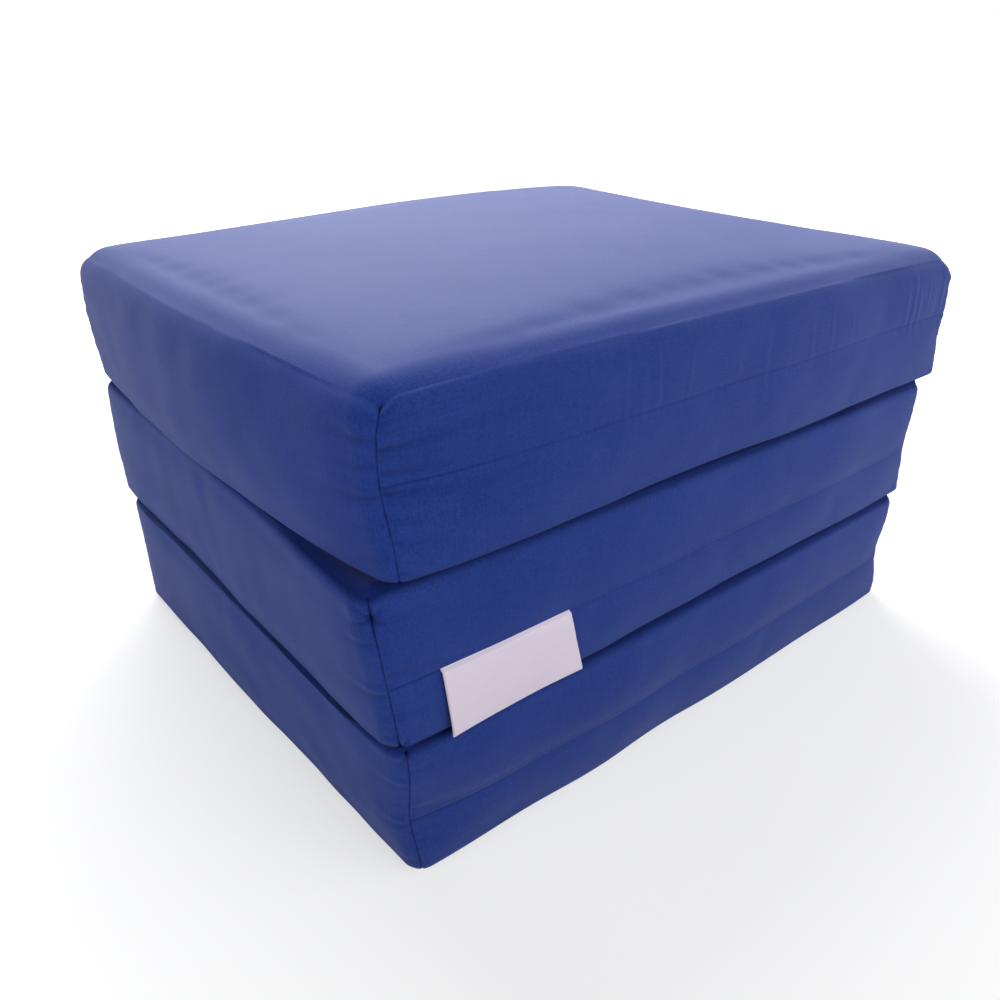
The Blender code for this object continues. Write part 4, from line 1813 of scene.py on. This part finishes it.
@dataclass
class Studio:
    """Pale floor, soft lamps and the photograph's camera."""

    eye: tuple[float, float, float] = (-0.508, -0.608, 0.4981)
    pitch: float = 26.286
    azimuth: float = 38.748
    roll: float = -0.122
    lens: float = 31.030
    lamp_size: float = 2.0
    floor_tones: tuple[float, float] = (0.44, 0.47)
    shadow_reach: float = 0.55
    dim: float = 0.02
    middle: tuple[float, float, float] = (0.0, 0.0, 0.18)

    def build(self) -> None:
        """Set up the whole studio."""
        self.floor()
        self.world()
        for name, place, power in (
            ("top_light", (0.4, 1.6, 2.2), 79.0),
            ("back_light", (1.4, 2.1, 1.5), 30.0),
            ("left_light", (-2.7, -0.5, 1.1), 34.5),
            ("front_light", (0.5, -2.7, 1.2), 32.0),
            ("corner_light", (2.0, -2.0, 1.3), 26.0),
            ("right_light", (2.8, 0.4, 1.2), 15.0),
        ):
            self.lamp(name, place, power)
        self.camera()
        scene = bpy.context.scene
        scene.view_settings.view_transform = "Standard"

    def floor(self) -> None:
        """Lay a wide pale floor that shows white to the camera, with the part's soft shadow."""
        mesh = bpy.data.meshes.new("studio_floor")
        bm = bmesh.new()
        bmesh.ops.create_grid(bm, x_segments=4, y_segments=4, size=30.0)
        bm.to_mesh(mesh)
        bm.free()
        floor = add_object("studio_floor", mesh)
        ground = Surface("studio_floor")
        grain = ground.noise(ground.place(), (3.0, 3.0, 3.0))
        low, high = ((tone, tone, tone) for tone in self.floor_tones)
        ground.shade({"Base Color": ground.blend(grain, low, high), "Roughness": 0.9})
        away = ground.node("ShaderNodeVectorMath", {"operation": "LENGTH"}, {0: ground.place()})
        far = ((ground.value(away, "Value") - self.shadow_reach) * 1.1).clamped(0.0, 1.0)
        glow = ground.node(
            "ShaderNodeEmission", None, {"Color": opaque(WHITE), "Strength": 0.60 + 0.50 * far}
        )
        dark = ground.node("ShaderNodeEmission", None, {"Strength": 0.0})
        extra = ground.between(ground.in_view(), dark, glow)
        total = ground.node(
            "ShaderNodeAddShader", None, {0: ground.shader.outputs[0], 1: extra.outputs[0]}
        )
        ground.show(total)
        mesh.materials.append(ground.material)

    def world(self) -> None:
        """White to the camera and in reflections, dim light on the part."""
        world = bpy.data.worlds.new("studio")
        world.use_nodes = True
        bpy.context.scene.world = world
        tree = Tree(world.node_tree)
        background = world.node_tree.nodes["Background"]
        tree.feed(background.inputs["Color"], opaque(WHITE))
        strength = self.dim + (1.0 - self.dim) * tree.in_view()
        tree.feed(background.inputs["Strength"], strength)

    def lamp(self, name: str, place: tuple[float, float, float], power: float) -> None:
        """Hang a soft square lamp that faces the part.

        Args:
            name: The lamp's name.
            place: Where it hangs.
            power: Its power, in watts.
        """
        light = bpy.data.lights.new(name, "AREA")
        light.shape = "SQUARE"
        light.size = self.lamp_size
        light.energy = power
        lamp = add_object(name, light)
        lamp.location = place
        towards = Vector(self.middle) - Vector(place)
        lamp.rotation_euler = towards.to_track_quat("-Z", "Y").to_euler()

    def camera(self) -> None:
        """Stand the camera where the photograph was taken."""
        lens = bpy.data.cameras.new("photo_camera")
        lens.lens = self.lens
        lens.sensor_width = 36.0
        lens.clip_start = 0.02
        camera = add_object("photo_camera", lens)
        pitch, azimuth = math.radians(self.pitch), math.radians(self.azimuth)
        forward = Vector(
            (
                math.sin(azimuth) * math.cos(pitch),
                math.cos(azimuth) * math.cos(pitch),
                -math.sin(pitch),
            )
        )
        turn = forward.to_track_quat("-Z", "Y").to_matrix()
        roll = Matrix.Rotation(math.radians(self.roll), 3, "Z")
        camera.matrix_world = Matrix.Translation(self.eye) @ (turn @ roll).to_4x4()
        bpy.context.scene.camera = camera


def fainter(gathers: Iterable[Gather], share: float) -> tuple[Gather, ...]:
    """The same gathers, with a share of their height."""
    return tuple(replace(gather, lift=share * gather.lift) for gather in gathers)


def near_corner_gathers() -> dict[tuple[int, int, int], tuple[Gather, ...]]:
    """Gathers of the top panel, strongest by the near corner on the long side."""
    front = (
        Gather(0.93, 0.012, 0.0016, 0.0005, 0.10),
        Gather(0.88, 0.020, 0.0018, 0.0007, 0.12),
        Gather(0.83, 0.016, 0.0017, 0.0006, 0.08),
        Gather(0.75, 0.036, 0.0022, 0.0010, 0.10),
        Gather(0.70, 0.018, 0.0018, 0.0006, 0.05),
        Gather(0.62, 0.026, 0.0020, 0.0008, 0.04),
        Gather(0.52, 0.034, 0.0024, 0.0010, -0.03),
        Gather(0.47, 0.016, 0.0018, 0.0006, -0.05),
        Gather(0.38, 0.020, 0.0020, 0.0006, -0.06),
        Gather(0.28, 0.024, 0.0022, 0.0006, -0.10),
        Gather(0.12, 0.014, 0.0018, 0.0004, -0.12),
    )
    left = (
        Gather(0.91, 0.012, 0.0016, 0.0005, 0.12),
        Gather(0.80, 0.022, 0.0020, 0.0007, 0.10),
        Gather(0.66, 0.016, 0.0018, 0.0005, 0.05),
        Gather(0.50, 0.022, 0.0022, 0.0007, 0.00),
        Gather(0.36, 0.014, 0.0018, 0.0004, -0.06),
        Gather(0.20, 0.016, 0.0020, 0.0005, -0.10),
    )
    soft_front, soft_left = fainter(front, 0.5), fainter(left, 0.5)
    return {
        (-1, -1, 1): front,
        (-1, -1, 0): left,
        (1, -1, 1): soft_left,
        (1, -1, 0): soft_front[2:9],
        (-1, 1, 1): soft_left,
        (-1, 1, 0): soft_front[3:10],
        (1, 1, 1): soft_left[1:],
        (1, 1, 0): soft_left,
    }


def quiet_gathers() -> dict[tuple[int, int, int], tuple[Gather, ...]]:
    """The few gathers of the two lower panels."""
    some = (
        Gather(0.86, 0.014, 0.0018, 0.0005, 0.10),
        Gather(0.55, 0.022, 0.0022, 0.0006, 0.02),
        Gather(0.30, 0.016, 0.0020, 0.0005, -0.08),
    )
    others = (
        Gather(0.74, 0.018, 0.0020, 0.0005, 0.06),
        Gather(0.42, 0.020, 0.0022, 0.0006, -0.02),
        Gather(0.14, 0.012, 0.0018, 0.0005, -0.10),
    )
    corners = [(x, y, axis) for x in (-1, 1) for y in (-1, 1) for axis in (0, 1)]
    return {
        (x, y, axis): fainter(
            some if x * y * (2 * axis - 1) > 0 else others, 0.8 if x + y == -2 else 0.45
        )
        for x, y, axis in corners
    }


def bottom_panel() -> Panel:
    """The panel on the floor, which leans in at its foot."""
    return Panel(
        level=Level.BOTTOM,
        sides={
            Face.LEFT: Side(Rim(-0.010, 0.005, 0.003), Rim(0.0, 0.004, 0.006, 12.0), 0.0008),
            Face.RIGHT: Side(Rim(-0.003, -0.003, 0.004), Rim(-0.006, -0.003, 0.006), 0.004),
            Face.FRONT: Side(Rim(-0.0015, 0.000, 0.003), Rim(0.003, 0.002, 0.003)),
            Face.REAR: Side(Rim(-0.003, -0.002, 0.004), Rim(-0.006, -0.002, 0.005)),
        },
        lower_radius=0.004,
        upper_radius=0.009,
        hinge_ends={Face.LEFT: True},
        gathers=quiet_gathers(),
        puckers=(Pucker((-1, -1), 0.97, 0.0012, 0.012, 5),),
        waists=(
            Waist((-1, -1), 0.42, 0.25, -0.0020, 0.0050),
            Waist((1, -1), 0.50, 0.24, 0.0110, 0.0),
        ),
        seed=11,
    )


def middle_panel() -> Panel:
    """The panel between the others, which carries the label."""
    return Panel(
        level=Level.MIDDLE,
        sides={
            Face.LEFT: Side(Rim(0.005, 0.005, 0.0030, 12.0), Rim(0.019, 0.007, -0.002), -0.0008),
            Face.RIGHT: Side(Rim(-0.001, 0.0, 0.003), Rim(-0.001, 0.002, 0.007, 12.0), -0.0012),
            Face.FRONT: Side(Rim(0.005, 0.004, 0.001), Rim(-0.001, 0.003, 0.003)),
            Face.REAR: Side(Rim(0.011, 0.006, 0.0), Rim(0.008, 0.005, 0.0)),
        },
        lower_radius=0.005,
        upper_radius=0.012,
        hinge_ends={Face.LEFT: False, Face.RIGHT: True},
        gathers=quiet_gathers(),
        puckers=(
            Pucker((-1, -1), 0.86, 0.0018, 0.013, 6),
            Pucker((-1, -1), 0.03, 0.0016, 0.011, 5),
        ),
        waists=(
            Waist((1, -1), 0.47, 0.22, 0.0060, 0.0),
            Waist((-1, 1), 0.45, 0.25, 0.0, -0.0050, 0.030),
        ),
        seed=23,
    )


def top_panel() -> Panel:
    """The panel on top, which is crowned and overhangs the others."""
    return Panel(
        level=Level.TOP,
        sides={
            Face.LEFT: Side(Rim(0.001, 0.006, 0.015), Rim(0.008, 0.008, 0.009), 0.004),
            Face.RIGHT: Side(Rim(0.014, 0.008, -0.0025), Rim(0.014, 0.008, 0.000), -0.0015),
            Face.FRONT: Side(Rim(0.010, 0.005, 0.002), Rim(0.0035, 0.003, 0.004)),
            Face.REAR: Side(Rim(0.008, 0.006, 0.0), Rim(0.014, 0.012, 0.002)),
        },
        lower_radius=0.006,
        upper_radius=0.024,
        hinge_ends={Face.RIGHT: False},
        crown=0.010,
        corner_drop=0.005,
        front_lift=0.0010,
        back_lift=0.0165,
        gathers=near_corner_gathers(),
        ripples=(
            Ripple(Face.FRONT, -0.095, 0.040, 0.45, 0.95, 6, 0.00028),
            Ripple(Face.FRONT, 0.060, 0.090, 0.40, 0.90, 6, 0.00018),
            Ripple(Face.FRONT, 0.250, 0.032, 0.45, 0.92, 7, 0.00042),
            Ripple(Face.RIGHT, -0.150, 0.060, 0.45, 0.92, 7, 0.00030),
        ),
        waists=(
            Waist((-1, -1), 0.52, 0.25, 0.000, 0.0070),
            Waist((1, -1), 0.30, 0.16, 0.0050, 0.0),
            Waist((-1, 1), 0.52, 0.30, 0.0, -0.0080, 0.030),
        ),
        seed=37,
    )


def main() -> None:
    """Build the mattress's looks in order."""
    finishes = {
        finish.name: finish.build()
        for finish in (
            CoverFabric(),
            CoverFabric(name="hinge_fabric", folded=False),
            Foam(),
            ZipTape(),
            CoilPlastic(),
            NickelPlate(),
            SatinRibbon(),
            SewingThread(),
        )
    }
    copies = CopiesAlongPath()
    filling = Filling()
    panels = [bottom_panel(), middle_panel(), top_panel()]
    for panel in panels:
        panel.make_cover(filling, finishes["cover_fabric"])
        panel.make_foam(finishes["foam"])
        Zip(panel, copies).build(finishes)
    for name, bodies in (
        ("left", ("bottom_panel", "middle_panel")),
        ("right", ("middle_panel", "top_panel")),
    ):
        flaps = [f"{name}_hinge_flap_{part}" for part in ("lower", "upper")]
        strip = HingeStrip(f"{name}_fold_strip", *flaps, bodies)
        strip.build(finishes["hinge_fabric"])
    LabelTab(panels[1], panels[0]).build(finishes["label_fabric"])
    Studio().build()


if __name__ == "__main__":
    logging.basicConfig(level=logging.INFO, format="%(name)s: %(message)s")
    main()
